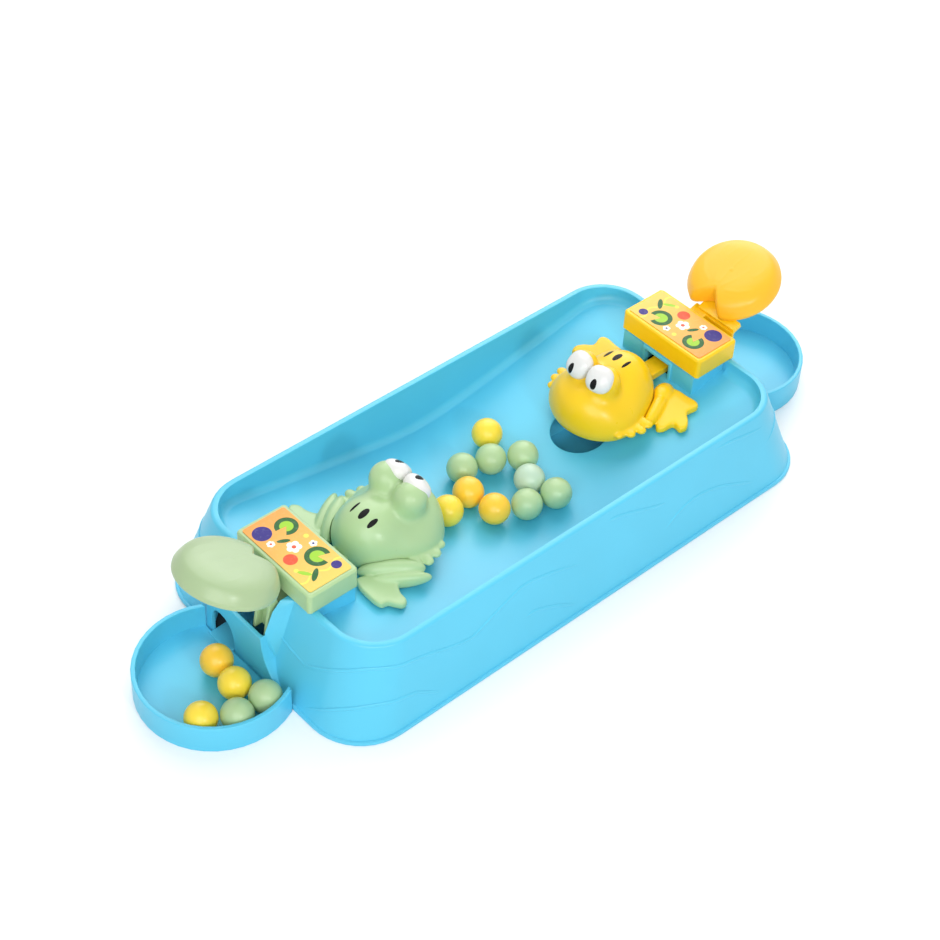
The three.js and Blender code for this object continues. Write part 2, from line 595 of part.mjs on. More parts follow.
function cover() {
  const halfLength = (COVER_OUTER - COVER_INNER) / 2;
  const middle = (COVER_OUTER + COVER_INNER) / 2;
  const bottom = RIM_HEIGHT + GAP;
  const ringOf = (z, inset) => ringAt(z, halfLength - inset, COVER_HALF_WIDTH - inset, COVER_CORNER - inset);
  const outside = loft([
    ringOf(bottom, 0), ringOf(COVER_TOP - COVER_ROUND, 0), ringOf(COVER_TOP - COVER_ROUND / 3, COVER_ROUND / 3),
    ringOf(COVER_TOP, COVER_ROUND),
  ]);
  const inside = block(-halfLength + COVER_WALL, halfLength - COVER_WALL, COVER_WALL - COVER_HALF_WIDTH,
    COVER_HALF_WIDTH - COVER_WALL, bottom - OVERRUN, COVER_TOP - COVER_WALL);
  const shell = outside.subtract(inside).translate([middle, 0, 0]);
  const roof = COVER_TOP - COVER_WALL / 2;
  const extras = [];
  for (const side of [-1, 1]) {
    const hold = side * (SLOT_HALF_WIDTH + CHEEK_WALL / 2);
    const seat = PIVOT_HEIGHT + AXLE_RADIUS + GAP;
    extras.push(post(COVER_SCREW_OUT, side * COVER_SCREW_ACROSS, BOSS_RADIUS, floorAt(COVER_SCREW_OUT + BOSS_RADIUS) + GAP,
      roof).subtract(post(COVER_SCREW_OUT, side * COVER_SCREW_ACROSS, SCREW_RADIUS + GAP, 0,
      TRAY_BOSS_BOTTOM + SCREW_LENGTH + GAP, SCREW_SIDES)));
    extras.push(block(PIVOT_OUT - AXLE_RADIUS, PIVOT_OUT + AXLE_RADIUS, hold - CHEEK_WALL / 2, hold + CHEEK_WALL / 2,
      seat, roof));
  }
  return wasm.Manifold.union([shell, ...extras]);
}

function labelPlate() {
  const halfLength = (COVER_OUTER - COVER_INNER) / 2 - LABEL_MARGIN;
  const shape = roundedRectangle(halfLength, COVER_HALF_WIDTH - LABEL_MARGIN, LABEL_CORNER);
  return upright(shape, COVER_TOP, COVER_TOP + LABEL_THICK).translate([(COVER_OUTER + COVER_INNER) / 2, 0, 0]);
}

function screw(x, y, seat) {
  return post(x, y, SCREW_HEAD_RADIUS, seat - SCREW_HEAD_HEIGHT, seat, SCREW_SIDES)
    .add(post(x, y, SCREW_RADIUS, seat - SCREW_HEAD_HEIGHT / 2, seat + SCREW_LENGTH - OVERRUN, SCREW_SIDES));
}

function axle() {
  const half = SLOT_HALF_WIDTH + CHEEK_WALL + AXLE_OVERHANG;
  return spindle(PIVOT_OUT, PIVOT_HEIGHT, AXLE_RADIUS, -half, half);
}

// Places a solid that was made about the pad's centre, with its dome upwards
function onPad(solid) {
  return solid.rotate([0, -THREE.MathUtils.radToDeg(PAD_TILT), 0]).translate([PAD_CENTRE_OUT, 0, PAD_CENTRE_HEIGHT]);
}

function padDome(inset, steps = PAD_STEPS, rows = PAD_ROWS) {
  const profile = [new THREE.Vector2(0, -PAD_HALF_RIM - (inset ? OVERRUN : 0))];
  const radius = PAD_RADIUS - inset;
  profile.push(new THREE.Vector2(radius, profile[0].y));
  const rise = PAD_DOME + PAD_HALF_RIM;
  for (let i = 0; i <= rows; i += 1) {
    const angle = i / rows * Math.PI / 2;
    const flat = Math.cos(angle) ** PAD_FLATTENING_share;
    profile.push(new THREE.Vector2(i < rows ? radius * flat : 0, rise * Math.sin(angle) - inset));
  }
  return solidOf(new THREE.LatheGeometry(profile, steps).rotateX(Math.PI / 2));
}

function padNotch(wall) {
  const apex = PAD_NOTCH_DEPTH - PAD_RADIUS + wall;
  const mouth = -PAD_RADIUS - OVERRUN;
  const half = PAD_NOTCH_HALF_WIDTH + wall;
  return upright(outlineOf([[apex, 0], [mouth, half], [mouth, -half]]), -PAD_RADIUS, PAD_RADIUS);
}

function lilyPad() {
  const inside = padDome(PAD_WALL, PAD_INSIDE_STEPS, PAD_INSIDE_ROWS).subtract(padNotch(PAD_WALL * 1.4));
  const boss = post(-PAD_BOSS_OFFSET, 0, PAD_BOSS_RADIUS, -PAD_HALF_RIM, PAD_DOME)
    .subtract(post(-PAD_BOSS_OFFSET, 0, PAD_PIN_RADIUS + GAP, -PAD_HALF_RIM - OVERRUN, PAD_PIN_HEIGHT, BOSS_SIDES));
  return onPad(padDome(0).subtract(padNotch(0)).subtract(inside).add(boss));
}

// The lever's stem, seen from the side, rises along the skirt to the pad's underside
function stem() {
  const plate = -PAD_HALF_RIM - GAP;
  const headOut = PAD_CENTRE_OUT - PAD_RADIUS * Math.cos(PAD_TILT) + STEM_DEPTH;
  const headUp = PAD_CENTRE_HEIGHT - PAD_RADIUS * Math.sin(PAD_TILT) + plate;
  const outline = outlineOf([
    [PIVOT_OUT, PIVOT_HEIGHT + HUB_RADIUS / 2], [PIVOT_OUT, PIVOT_HEIGHT - HUB_RADIUS],
    [STEM_FOOT_OUT - STEM_DEPTH, BEAM_BOTTOM], [STEM_FOOT_OUT - STEM_DEPTH, STEM_FOOT_HEIGHT],
    [STEM_FOOT_OUT, STEM_FOOT_HEIGHT], [STEM_KNEE_OUT + STEM_WALL, STEM_KNEE_HEIGHT], [headOut, headUp],
    [headOut - STEM_DEPTH, headUp - STEM_WALL], [STEM_KNEE_OUT - STEM_DEPTH + STEM_WALL * 2, STEM_KNEE_HEIGHT],
    [STEM_KNEE_OUT - STEM_DEPTH + STEM_WALL, PIVOT_HEIGHT],
  ]);
  return across(outline, STEM_NEAR, STEM_FAR);
}

function stemHollow() {
  const outline = outlineOf([
    [STEM_FOOT_OUT - STEM_DEPTH + STEM_WALL, STEM_FOOT_HEIGHT - OVERRUN],
    [STEM_FOOT_OUT + OVERRUN, STEM_FOOT_HEIGHT - OVERRUN], [STEM_KNEE_OUT + STEM_DEPTH, STEM_KNEE_HEIGHT],
    [STEM_KNEE_OUT - STEM_WALL / 2, STEM_KNEE_HEIGHT],
  ]);
  return across(outline, STEM_NEAR + STEM_WALL, STEM_FAR - STEM_WALL);
}

function gusset() {
  const from = STEM_KNEE_OUT - STEM_WALL;
  const top = PAD_CENTRE_HEIGHT - Math.tan(PAD_TILT) * (PAD_CENTRE_OUT - from) - PAD_HALF_RIM - GAP - PLATE_THICK;
  return along(outlineOf([
    [STEM_FAR, STEM_KNEE_HEIGHT], [WING_FAR, top], [GUSSET_NEAR, top], [GUSSET_NEAR, GUSSET_BOTTOM],
    [STEM_NEAR, STEM_KNEE_HEIGHT - STEM_DEPTH],
  ]), from, from + STEM_WALL);
}

function padPlate() {
  const top = -PAD_HALF_RIM - GAP;
  const from = -PAD_RADIUS + STEM_WALL;
  const plate = block(from, PAD_BOSS_RADIUS - PAD_BOSS_OFFSET, GUSSET_NEAR / 2 - PAD_BOSS_RADIUS, WING_FAR,
    top - PLATE_THICK, top);
  const wing = block(from, from + STEM_DEPTH, GUSSET_NEAR, WING_FAR, top - PLATE_THICK * 1.6, top);
  const pin = post(-PAD_BOSS_OFFSET, 0, PAD_PIN_RADIUS, top - PLATE_THICK / 2, PAD_PIN_HEIGHT - OVERRUN / 2, SCREW_SIDES);
  return onPad(wasm.Manifold.union([plate, wing, pin]));
}

function lever() {
  const hub = spindle(PIVOT_OUT, PIVOT_HEIGHT, HUB_RADIUS, -HUB_HALF_WIDTH, HUB_HALF_WIDTH);
  const arm = across(outlineOf([
    [PIVOT_OUT, PIVOT_HEIGHT + HUB_RADIUS / 2], [PEDESTAL_INNER + TRAY_WALL, ARM_TOP], [ARM_END, ARM_TOP],
    [ARM_END, ARM_TOP - ARM_THICK], [PEDESTAL_INNER + TRAY_WALL, ARM_TOP - ARM_THICK],
    [PIVOT_OUT, PIVOT_HEIGHT - HUB_RADIUS / 2],
  ]), -ARM_HALF_WIDTH, ARM_HALF_WIDTH);
  const bore = spindle(PIVOT_OUT, PIVOT_HEIGHT, AXLE_RADIUS + RUNNING_GAP, -PEDESTAL_HALF_WIDTH, PEDESTAL_HALF_WIDTH);
  return wasm.Manifold.union([hub, arm, stem().subtract(stemHollow()), gusset(), padPlate()]).subtract(bore);
}

// How far a point lies outside a swelling, about in millimetres
function outsideOf(point, swelling) {
  const x = (point.x - swelling.out) / swelling.length;
  const y = (point.y - swelling.across) / swelling.width;
  const z = (point.z - swelling.up) / swelling.height;
  return (Math.hypot(x, y, z) - 1) * Math.min(swelling.length, swelling.width, swelling.height);
}

// Joins two such distances with a soft valley between the forms
function blend(a, b) {
  const share = Math.max(FROG_BLEND - Math.abs(a - b), 0) / FROG_BLEND;
  return Math.min(a, b) - share * share * FROG_BLEND / 4;
}

function frogDistance(point, swellings) {
  return swellings.map((swelling) => outsideOf(point, swelling)).reduce(blend);
}

// A sphere whose points are pushed out from the frog's middle to the blended surface
function frogForm(swellings, grow, sides, rows) {
  const geometry = new THREE.SphereGeometry(1, sides, rows).rotateX(Math.PI / 2);
  const places = geometry.attributes.position;
  const ray = new THREE.Vector3();
  const point = new THREE.Vector3();
  for (let i = 0; i < places.count; i += 1) {
    ray.fromBufferAttribute(places, i);
    let near = 0;
    let far = FROG_REACH;
    while (far - near > GAP / 100) {
      const middle = (near + far) / 2;
      point.copy(FROG_MIDDLE).addScaledVector(ray, middle);
      if (frogDistance(point, swellings) < grow) near = middle;
      else far = middle;
    }
    point.copy(FROG_MIDDLE).addScaledVector(ray, near);
    places.setXYZ(i, point.x, point.y, point.z);
  }
  return solidOf(geometry);
}

function eyelids() {
  return [-1, 1].map((side) => ({ ...EYELID, across: side * EYELID.across }));
}

// The space under the shell's sloping rim
function belowRim(drop) {
  const front = FROG_MIDDLE.x - FROG_REACH / 2;
  const rear = FROG_MIDDLE.x + FROG_REACH / 2;
  return across(outlineOf([
    [front, 0], [rear, 0], [rear, FROG_RIM_REAR - drop], [front, FROG_RIM_FRONT - drop],
  ]), -FROG_REACH / 2, FROG_REACH / 2);
}

function hand(side, grow = 0) {
  const shape = new THREE.Shape();
  shape.moveTo(PALM.from - grow, PALM.inner);
  FINGER_TIPS.forEach(([out, wide]) => {
    shape.absarc(out, wide, FINGER_RADIUS + grow, -Math.PI, 0, true);
  });
  shape.lineTo(PALM.to + grow, PALM.outer);
  shape.lineTo(PALM.to + grow, PALM.inner);
  const solid = upright(shape, HAND_HEIGHT - grow, HAND_HEIGHT + HAND_THICK + grow, FINGER_STEPS);
  return side > 0 ? solid : solid.mirror([0, 1, 0]);
}

function frogShell() {
  const full = frogForm([...FROG_SWELLINGS, ...eyelids()], 0, FROG_SIDES, FROG_ROWS);
  const hollow = frogForm(FROG_SWELLINGS, -FROG_WALL, FROG_INSIDE_SIDES, FROG_INSIDE_ROWS);
  const notch = block(ARM_END, FROG_MIDDLE.x + FROG_REACH, -ARM_HALF_WIDTH - GAP, ARM_HALF_WIDTH + GAP,
    0, ARM_TOP + GAP);
  return full.subtract(belowRim(0)).add(hand(1)).add(hand(-1)).subtract(hollow).subtract(notch)
    .subtract(eye(1, GAP))
    .subtract(eye(-1, GAP));
}

function lobe(form, side) {
  const round = new THREE.SphereGeometry(1, LOBE_SIDES, LOBE_ROWS).rotateX(Math.PI / 2)
    .scale(form.length, form.width, form.height)
    .rotateZ(LEG_SWING * side)
    .translate(form.out, form.across * side, form.up);
  return solidOf(round);
}

function hindLeg(side) {
  const foot = new THREE.Shape();
  foot.moveTo(THIGH.out - THIGH.length / 2, THIGH.across);
  TOE_TIPS.forEach(([out, wide]) => {
    foot.absarc(out, wide, TOE_RADIUS, Math.PI - TOE_SPREAD, TOE_SPREAD, true);
  });
  foot.lineTo(ANKLE[0] + TOE_RADIUS, ANKLE[1]);
  foot.lineTo(ANKLE[0] - TOE_RADIUS, ANKLE[1] - TOE_RADIUS);
  const column = upright(foot, 0, RIM_HEIGHT, FINGER_STEPS);
  const plate = (side > 0 ? column : column.mirror([0, 1, 0]))
    .subtract(aboveFloor(-LEG_CLEARANCE - FOOT_THICK));
  const body = frogForm([...FROG_SWELLINGS, ...eyelids()], GAP, FROG_SIDES, FROG_ROWS);
  const leg = wasm.Manifold.union([plate, lobe(THIGH, side), lobe(SHANK, side)])
    .intersect(aboveFloor(-LEG_CLEARANCE))
    .subtract(body)
    .subtract(hand(side, GAP));
  return tidied(leg, SOFT_TIDY);
}

function eye(side, grow = 0) {
  const centre = [EYELID.out + EYE_SHIFT.x, side * (EYELID.across + EYE_SHIFT.y), EYELID.up + EYE_SHIFT.z];
  const look = EYE_LOOK.clone().multiply(new THREE.Vector3(1, side, 1)).normalize();
  const turn = new THREE.Quaternion().setFromUnitVectors(new THREE.Vector3(0, 1, 0), look);
  const depth = EYE_RADIUS * EYE_DEPTH_share + grow;
  const ball = new THREE.SphereGeometry(1, EYE_SIDES, EYE_ROWS)
    .scale(EYE_RADIUS + grow, depth, EYE_RADIUS + grow)
    .applyQuaternion(turn);
  return solidOf(ball).translate(centre);
}

function bead(name, colour, x, y, height) {
  const ball = solidOf(new THREE.SphereGeometry(BEAD_RADIUS, BEAD_SIDES, BEAD_ROWS).rotateX(Math.PI / 2));
  const piece = pieceOf(name, ball, COLOURS[colour], 0.3);
  piece.position.set(x, y, height + BEAD_RADIUS + BEAD_LIFT);
  return piece;
}

// One player's end, built as the +X end
function playerEnd(tint) {
  const end = new THREE.Group();
  const name = (words) => `${tint}_${words}`;
  end.add(pieceOf(name('skirt'), skirt(), COLOURS.blue));
  end.add(pieceOf(name('floor'), floorPan(), COLOURS.blue));
  end.add(pieceOf(name('pedestal'), pedestal(), COLOURS.blue));
  end.add(pieceOf(name('bean_cup'), beanCup(), COLOURS.blue));
  end.add(pieceOf(name('cover'), cover(), COLOURS[tint]));
  end.add(pieceOf(name('label'), labelPlate(), COLOURS.label, 0.45));
  end.add(pieceOf(name('axle'), axle(), COLOURS.steel, 0.3, 1));
  end.add(pieceOf(name('lever'), lever(), COLOURS[tint]));
  end.add(pieceOf(name('lily_pad'), lilyPad(), COLOURS[`pad_${tint}`]));
  end.add(pieceOf(name('frog_shell'), frogShell(), COLOURS[tint]));
  for (const [word, side] of [['left', 1], ['right', -1]]) {
    end.add(pieceOf(name(`${word}_leg`), hindLeg(side), COLOURS[tint]));
    end.add(pieceOf(name(`${word}_eye`), eye(side), COLOURS.white, 0.25));
    end.add(pieceOf(name(`${word}_cover_screw`), screw(COVER_SCREW_OUT, side * COVER_SCREW_ACROSS,
      TRAY_BOSS_BOTTOM - GAP), COLOURS.steel, 0.35, 1));
    end.add(pieceOf(name(`${word}_chute_screw`), screw(CHUTE_TAB_OUT, side * chuteTabAcross(),
      chuteTabTop() - CHUTE_TAB_THICK - GAP), COLOURS.steel, 0.35, 1));
  }
  return end;
}

const game = new THREE.Group();
game.add(playerEnd('yellow'));
const greenEnd = playerEnd('green');
greenEnd.rotation.z = Math.PI;
game.add(greenEnd);
TRAY_BEADS.forEach(([colour, x, y], i) => {
  const slope = Math.hypot(1, FLOOR_SLOPE_share * Math.min(1, Math.abs(x) * FLOOR_SLOPE_share / FLOOR_BLEND));
  game.add(bead(`tray_bead_${i + 1}`, colour, x, y, floorAt(x) + BEAD_RADIUS * (slope - 1)));
});
CUP_BEADS.forEach(([colour, x, y], i) => {
  game.add(bead(`cup_bead_${i + 1}`, colour, x, y, CUP_FLOOR));
});

export default game;
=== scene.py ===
"""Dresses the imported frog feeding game: shapes, plastics, printed labels and a plain studio."""
import json
import math

import bmesh
import bpy
import numpy as np
from mathutils import Matrix, Vector


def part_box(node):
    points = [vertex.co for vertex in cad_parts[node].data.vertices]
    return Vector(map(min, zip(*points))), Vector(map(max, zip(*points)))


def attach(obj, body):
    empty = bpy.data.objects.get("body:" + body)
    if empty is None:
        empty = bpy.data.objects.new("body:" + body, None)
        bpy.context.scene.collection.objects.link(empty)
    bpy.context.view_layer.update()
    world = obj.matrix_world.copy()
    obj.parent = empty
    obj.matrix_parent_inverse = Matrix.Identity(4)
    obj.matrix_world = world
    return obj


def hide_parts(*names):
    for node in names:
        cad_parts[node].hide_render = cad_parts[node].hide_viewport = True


bl_info = {
    "name": "Frog feeding game",
    "version": (1, 0, 0),
    "blender": (4, 5, 0),
    "location": "View3D > Sidebar > Frog game",
    "description": "Builds the looks of a table-top frog feeding game on its packed frame",
    "category": "Object",
}

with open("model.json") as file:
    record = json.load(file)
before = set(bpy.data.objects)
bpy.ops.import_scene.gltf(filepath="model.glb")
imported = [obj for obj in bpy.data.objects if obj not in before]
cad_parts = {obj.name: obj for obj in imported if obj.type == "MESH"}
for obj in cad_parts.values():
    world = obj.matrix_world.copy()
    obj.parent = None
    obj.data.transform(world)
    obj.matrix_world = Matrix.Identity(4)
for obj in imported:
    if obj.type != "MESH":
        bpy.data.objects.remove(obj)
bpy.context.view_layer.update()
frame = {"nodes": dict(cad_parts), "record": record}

MM = 0.001
TINTS = ("yellow", "green")
# The green end is the yellow one turned half round about the upright axis
TURN = {"yellow": 1.0, "green": -1.0}
SIDES = {"left": 1.0, "right": -1.0}

# Frog: centres and radii of the swellings that blend into its shell, as the solids have them
FROG_MIDDLE = np.array([64.0, 0.0, 39.0])
FROG_WALL = 1.8
FROG_BLEND = 5.0
FROG_REACH = 60.0
FROG_RIM_FRONT = 27.8
FROG_RIM_REAR = 31.2
FROG_SWELLINGS = (
    ((65.5, 0, 33.5), (22.3, 19.5, 14.5)),
    ((72.5, 0, 40), (14.3, 13.8, 12.8)),
    ((57.2, 0, 33), (17, 22, 12.5)),
    ((53.5, 0, 40.5), (12, 14, 9)),
)
# Each frog's left eyelid, as centre and radii
EYELIDS = {
    "yellow": ((56.4, 7, 52.6), (6.4, 6.2, 6.8)),
    "green": ((57.4, 7.8, 53), (7.4, 7, 7.2)),
}
FROG_FORMS = {
    tint: FROG_SWELLINGS + tuple(((x, y * side, z), radii) for side in SIDES.values())
    for tint, ((x, y, z), radii) in EYELIDS.items()
}
SKIN_ROUNDS = 3
SKIN_TILTS = (60, 170)
HALVINGS = 26

# Hands: a palm and four tapering fingers
FINGER_TIPS = ((52.4, 21.2), (57, 24), (62.2, 25.4), (67.2, 24.6))
FINGER_RADII = (2.7, 2.3)
FINGER_FLAT = 0.66
FINGER_ROOT = (60, 13.5)
FINGER_ROOT_SHARE = 0.75
FINGER_SLOPE = 0.4
HAND_HEIGHT = 33.3
PALM = (60.6, 18)
PALM_SIZE = (9.8, 6.8, 2.2)
PALM_SWING = -8

# Eyes: a flattened ball with slightly square sides, and where each tint's pupils look
EYE_CENTRE = (52.7, 6.35, 55.3)
EYE_LOOK = (-0.72, 0.2, 0.66)
EYE_RADIUS = 6.2
EYE_DEPTH = 4.3
EYE_SQUARE = 2.4
PUPIL_LOOK = {"yellow": (-0.94, 0.14, 0.12), "green": (-0.35, -0.02, 0.94)}
PUPIL_PAINT = 0.12

# Painted ovals on each back: where they lie along it, and their places across it
STRIPE_PLACE = {"yellow": 71.8, "green": 77.2}
STRIPE_ROWS = (-4.1, 1.6, 7)
STRIPE_HEIGHT = 60
STRIPE_PAINT = 0.14
PAINT_SINK = 0.03

# Hind legs: folded lobes as centre, half sizes and swing, and the outline of the webbed foot
LEG_LOBES = {
    "yellow": (((87.6, 14.4, 32), (7, 4.8, 4.8), -22), ((80.4, 18, 31.4), (14.4, 3.8, 4.4), -23)),
    "green": (((76.4, 18.6, 32), (14.2, 4.2, 5), -35), ((77.4, 23.6, 30.6), (14.4, 3.2, 3.9), -32)),
}
FOOT_OUTLINE = {
    "yellow": (
        (90.6, 12), (93.6, 17), (94, 22.5), (94.4, 28.6), (92.3, 31), (87.2, 30), (83.8, 33.8),
        (80.8, 35.7), (77.9, 34.4), (78, 30.2), (73.2, 28.8), (71.6, 26.2), (75.4, 22.4), (81, 18),
    ),
    "green": (
        (90.2, 14), (93.4, 18), (94, 22), (94.1, 28.6), (92.9, 31.9), (89.6, 32.6), (87.6, 35.2),
        (85, 36.9), (82.2, 35), (81.6, 31), (79.8, 27.4), (76, 23), (80, 18),
    ),
}
FOOT_LIFT = 0.8
FOOT_THICK = 3.2
FOOT_CROWN = 0.3
# Rings of the foot from its middle beneath, round its edge: share of the outline and height
FOOT_PROFILE = (
    (0.55, 0), (0.9, 0), (1, 0.35), (1, FOOT_THICK - 1.1), (0.965, FOOT_THICK - 0.4), (0.9, FOOT_THICK),
    (0.6, FOOT_THICK + 0.25),
)
LEG_VOXEL = 0.4
LEG_ROUNDS = 2
LEG_GAP = 0.3

# Lily pad about its own centre
PAD_CENTRE = (144.8, 0, 60.8)
PAD_TILT = math.radians(22)
PAD_RADIUS = 21.6
PAD_RIM = 2.0
PAD_WALL = 1.8
PAD_CROWN = 0.3
PAD_SOFT = 3.4
PAD_BOW_POWER = 3.64
PAD_ROW_POWER = 1.6
PAD_FOOT_SHARE = 0.992
PAD_FOOT_SOFT = 0.35
PAD_RISE = 8.0
PAD_NOTCH_APEX = -13.2
PAD_NOTCH_SLOPE = 12.6 / 10.4
VEIN_HEIGHT = 0.08
VEIN_WIDTH = 0.7
SIDE_VEINS = (
    ((-9, 2.5), (-2, 5.5), (5, 7), (11, 6)), ((-10, 5.5), (-7.5, 10.5), (-3, 14.5)),
    ((3, 11), (7.5, 12), (11.5, 11)),
)
VEINS = (
    ((-8, 0), (2, 0.6), (10, 0), (15, 0.4)),
    *(tuple((x, y * side) for x, y in line) for line in SIDE_VEINS for side in SIDES.values()),
)
FAR = 1e9

# Well: its outline, the height of its wall's seam under the rim and the valley of its floor
WELL = (118.6, 54.4, 18.7)
WELL_SEAM = (39.3, 39.6)
WELL_FILLET = 3.6
FILLET_STEPS = 7
FILLET_SINK = 0.02
FLOOR_LOW = 15.4
FLOOR_BLEND = 3.9
FLOOR_SLOPE = 0.2
VALLEY_REACH = 101
VALLEY_STRIP = 4.5
MIDDLE_SEAM = 0.16
PEDESTAL_SINK = 1.0
PEDESTAL_SIDE = 22.6

# How near points touch or lie on the floor, what counts as level or flat, the shortest edge that is
# rounded, in widths of the rounding, and the sharpest crease left in a soft skin
TOUCH = 0.01
NEAR = 0.4
LEVEL = 0.975
FLAT_ANGLE = math.radians(0.6)
LEAST_EDGE = 2.4
SOFT_SHARP = math.radians(70)

TRAY_PARTS = ("skirt", "floor")

# Skirt rings at the lip and at the rim: half length, half width and corner radius
SKIRT_FOOT = (135.9, 66.2, 24.1)
SKIRT_RIM = (121.6, 57.4, 21.7)
SKIRT_FROM = 2.0
SKIRT_TO = 41.6
SKIRT_LEAN = 0.222
# Distances round the skirt: half an end, a corner and a long side
END_RUN, CORNER_RUN, SIDE_RUN = 42.1, 37.9, 223.6
# Embossed waves, as distance round the skirt from the middle of the green end, and height
WAVES = (
    ((6, 24), (14, 22.2), (27, 20.5), (33, 21.5), (50, 29), (63, 32.3), (77, 31.2), (92, 28.5),
     (104, 25.4), (115, 23.4), (121, 24), (134, 28.4), (148, 31.8), (164, 29.5), (186, 24)),
    ((148, 16), (154, 16.3), (163, 13.6), (170, 10.5), (179, 6)),
    ((33, 3.4), (48, 11.5), (58, 15.4), (69, 17), (85, 15), (94, 11), (102, 7)),
    ((200, 36.6), (207, 36), (218, 33), (229, 29.5), (240, 27.4)),
    ((272, 38.4), (285, 37.2), (296, 35.4), (308, 34)),
    ((232, 13), (244, 18.5), (256, 20.6), (270, 18.4), (284, 12.5), (292, 8.6)),
    ((303, 24), (318, 28), (332, 26.5), (344, 22), (352, 20.4)),
)
WAVE_COLUMNS = 9
WAVE_TAPER = 8
WAVE_SINK = 0.08
WAVE_ROOT = 0.4

# Beads: turns per metre of their place, and widths of the seam and gate as shares of the radius
BEAD_TURNS = (900, 700)
SEAM_SHARE = 0.02
GATE_SHARE = 0.09

# Surfaces: how often each pattern repeats in a metre, and the height of the finest relief
GRAIN = {
    "flow": 22, "scuffs": 140, "scratches": 900, "skin": 1500, "dust": 900, "steel": 2500, "fibres": 700,
    "paper": 300,
}
FINE_RELIEF = 0.0002
PLASTIC_IOR = 1.47
GLOW_DEPTH = (0.004, 0.003, 0.002)

# Label: its middle and length, and the middle of the ripple across it
LABEL_MIDDLE = 110.55
LABEL_LENGTH = 42
LABEL_RIPPLE = 15.5

# Stage, in metres, except the ground under the tray: half sizes and the radius round them, in
# millimetres. Each lamp has a place, a size and a power in watts.
GROUND = 0.8
# The ground under the tray is painted dark as shade: half sizes and corner radius of that painted shade, then
# its colour
UNDER_TRAY = (111.5, 42, 24)
UNDER_TRAY_PAINTED_SHADE = (0.04, 0.09, 0.12)
PAPER = ((0.86, 0.86, 0.86), (0.9, 0.9, 0.9))
PAPER_SEEN = (0.12, 0.12, 0.12)
SKY_LIGHT = 0.5
SKY_SEEN = 1.0
LAMPS = {
    "window": ((0.62, 0.7, 1.15), 1.7, 14.0),
    "back": ((1.15, 0.75, 0.6), 1.3, 5.0),
    "front": ((-0.87, -0.7, 0.84), 1.0, 8.5),
    "key": ((-0.3, -1.08, 0.65), 0.14, 3.0),
}
LENS = 76.93
VIEW_PLACE = (-0.4472, -0.4425, 0.6323)
VIEW_AXES = ((0.7437, -0.6672, 0.0417), (0.4411, 0.5366, 0.7194), (-0.5024, -0.5166, 0.6934))


def linear(colour):
    """The linear colour of a web colour such as 5fcdf3."""
    parts = [int(colour[i:i + 2], 16) / 255 for i in (0, 2, 4)]
    return tuple(c / 12.92 if c <= 0.04045 else ((c + 0.055) / 1.055) ** 2.4 for c in parts)


def colour_property(name, description, default):
    return bpy.props.FloatVectorProperty(
        name=name, description=description, default=linear(default), subtype="COLOR", size=3, min=0, max=1)


def length_property(name, description, default):
    return bpy.props.FloatProperty(
        name=name, description=description, default=default * MM, unit="LENGTH", min=0, precision=5)


class Value:
    """A shader socket or number that takes part in Python expressions."""

    def __init__(self, sheet, source):
        self.sheet = sheet
        self.source = source

    def maths(self, operation, *others, clamp=False):
        settings = {"operation": operation, "use_clamp": clamp}
        inputs = {i: v for i, v in enumerate((self, *others))}
        return self.sheet.node("ShaderNodeMath", settings, inputs)

    def __add__(self, other):
        return self.maths("ADD", other)

    __radd__ = __add__

    def __sub__(self, other):
        return self.maths("SUBTRACT", other)

    def __rsub__(self, other):
        return self.sheet.value(other).maths("SUBTRACT", self)

    def __mul__(self, other):
        return self.maths("MULTIPLY", other)

    def __truediv__(self, other):
        return self.maths("DIVIDE", other)

    def __pow__(self, other):
        return self.maths("POWER", other)

    def most(self, other):
        return self.maths("MAXIMUM", other)

    def below(self, limit, soft):
        """1 where the value is under the limit, falling to 0 over the soft edge."""
        return ((limit - self) / soft + 0.5).maths("ADD", 0, clamp=True)


class Sheet:
    """Builds one material's nodes."""

    def __init__(self, name):
        self.material = bpy.data.materials.new(name)
        self.material.use_nodes = True
        self.tree = self.material.node_tree
        self.shader = self.tree.nodes["Principled BSDF"]

    def value(self, source):
        return Value(self, source)

    def node(self, kind, settings=None, inputs=None, output=0):
        """Adds a node: its settings first, then the values or links of its sockets."""
        made = self.tree.nodes.new(kind)
        for key, setting in (settings or {}).items():
            setattr(made, key, setting)
        for key, given in (inputs or {}).items():
            self.give(made.inputs[key], given)
        return Value(self, made.outputs[output])

    def give(self, socket, given):
        source = given.source if isinstance(given, Value) else given
        if isinstance(source, bpy.types.NodeSocket):
            self.tree.links.new(source, socket)
        elif hasattr(source, "__len__") and len(socket.default_value) == 4:
            socket.default_value = (*source, 1)
        else:
            socket.default_value = source

    def mix(self, mask, first, second):
        """Colour between two colours, by a mask."""
        settings = {"data_type": "RGBA", "clamp_factor": True}
        return self.node("ShaderNodeMix", settings, {0: mask, 6: first, 7: second}, output=2)

    def place(self, name):
        """One coordinate of the surface point, in millimetres of the shared frame."""
        spot = self.node("ShaderNodeTexCoord", output=3)
        axis = "XYZ".index(name)
        return self.node("ShaderNodeSeparateXYZ", inputs={0: spot}, output=axis) / MM

    def noise(self, pattern, detail, rough=0.5):
        spot = self.node("ShaderNodeTexCoord", output=3)
        inputs = {"Vector": spot, "Scale": GRAIN[pattern], "Detail": detail, "Roughness": rough}
        return self.node("ShaderNodeTexNoise", {"noise_dimensions": "3D"}, inputs)

    def bump(self, height, strength, distance):
        inputs = {"Height": height, "Strength": strength, "Distance": distance}
        return self.node("ShaderNodeBump", inputs=inputs)

    def set(self, **sockets):
        for name, given in sockets.items():
            self.give(self.shader.inputs[name.replace("_", " ")], given)


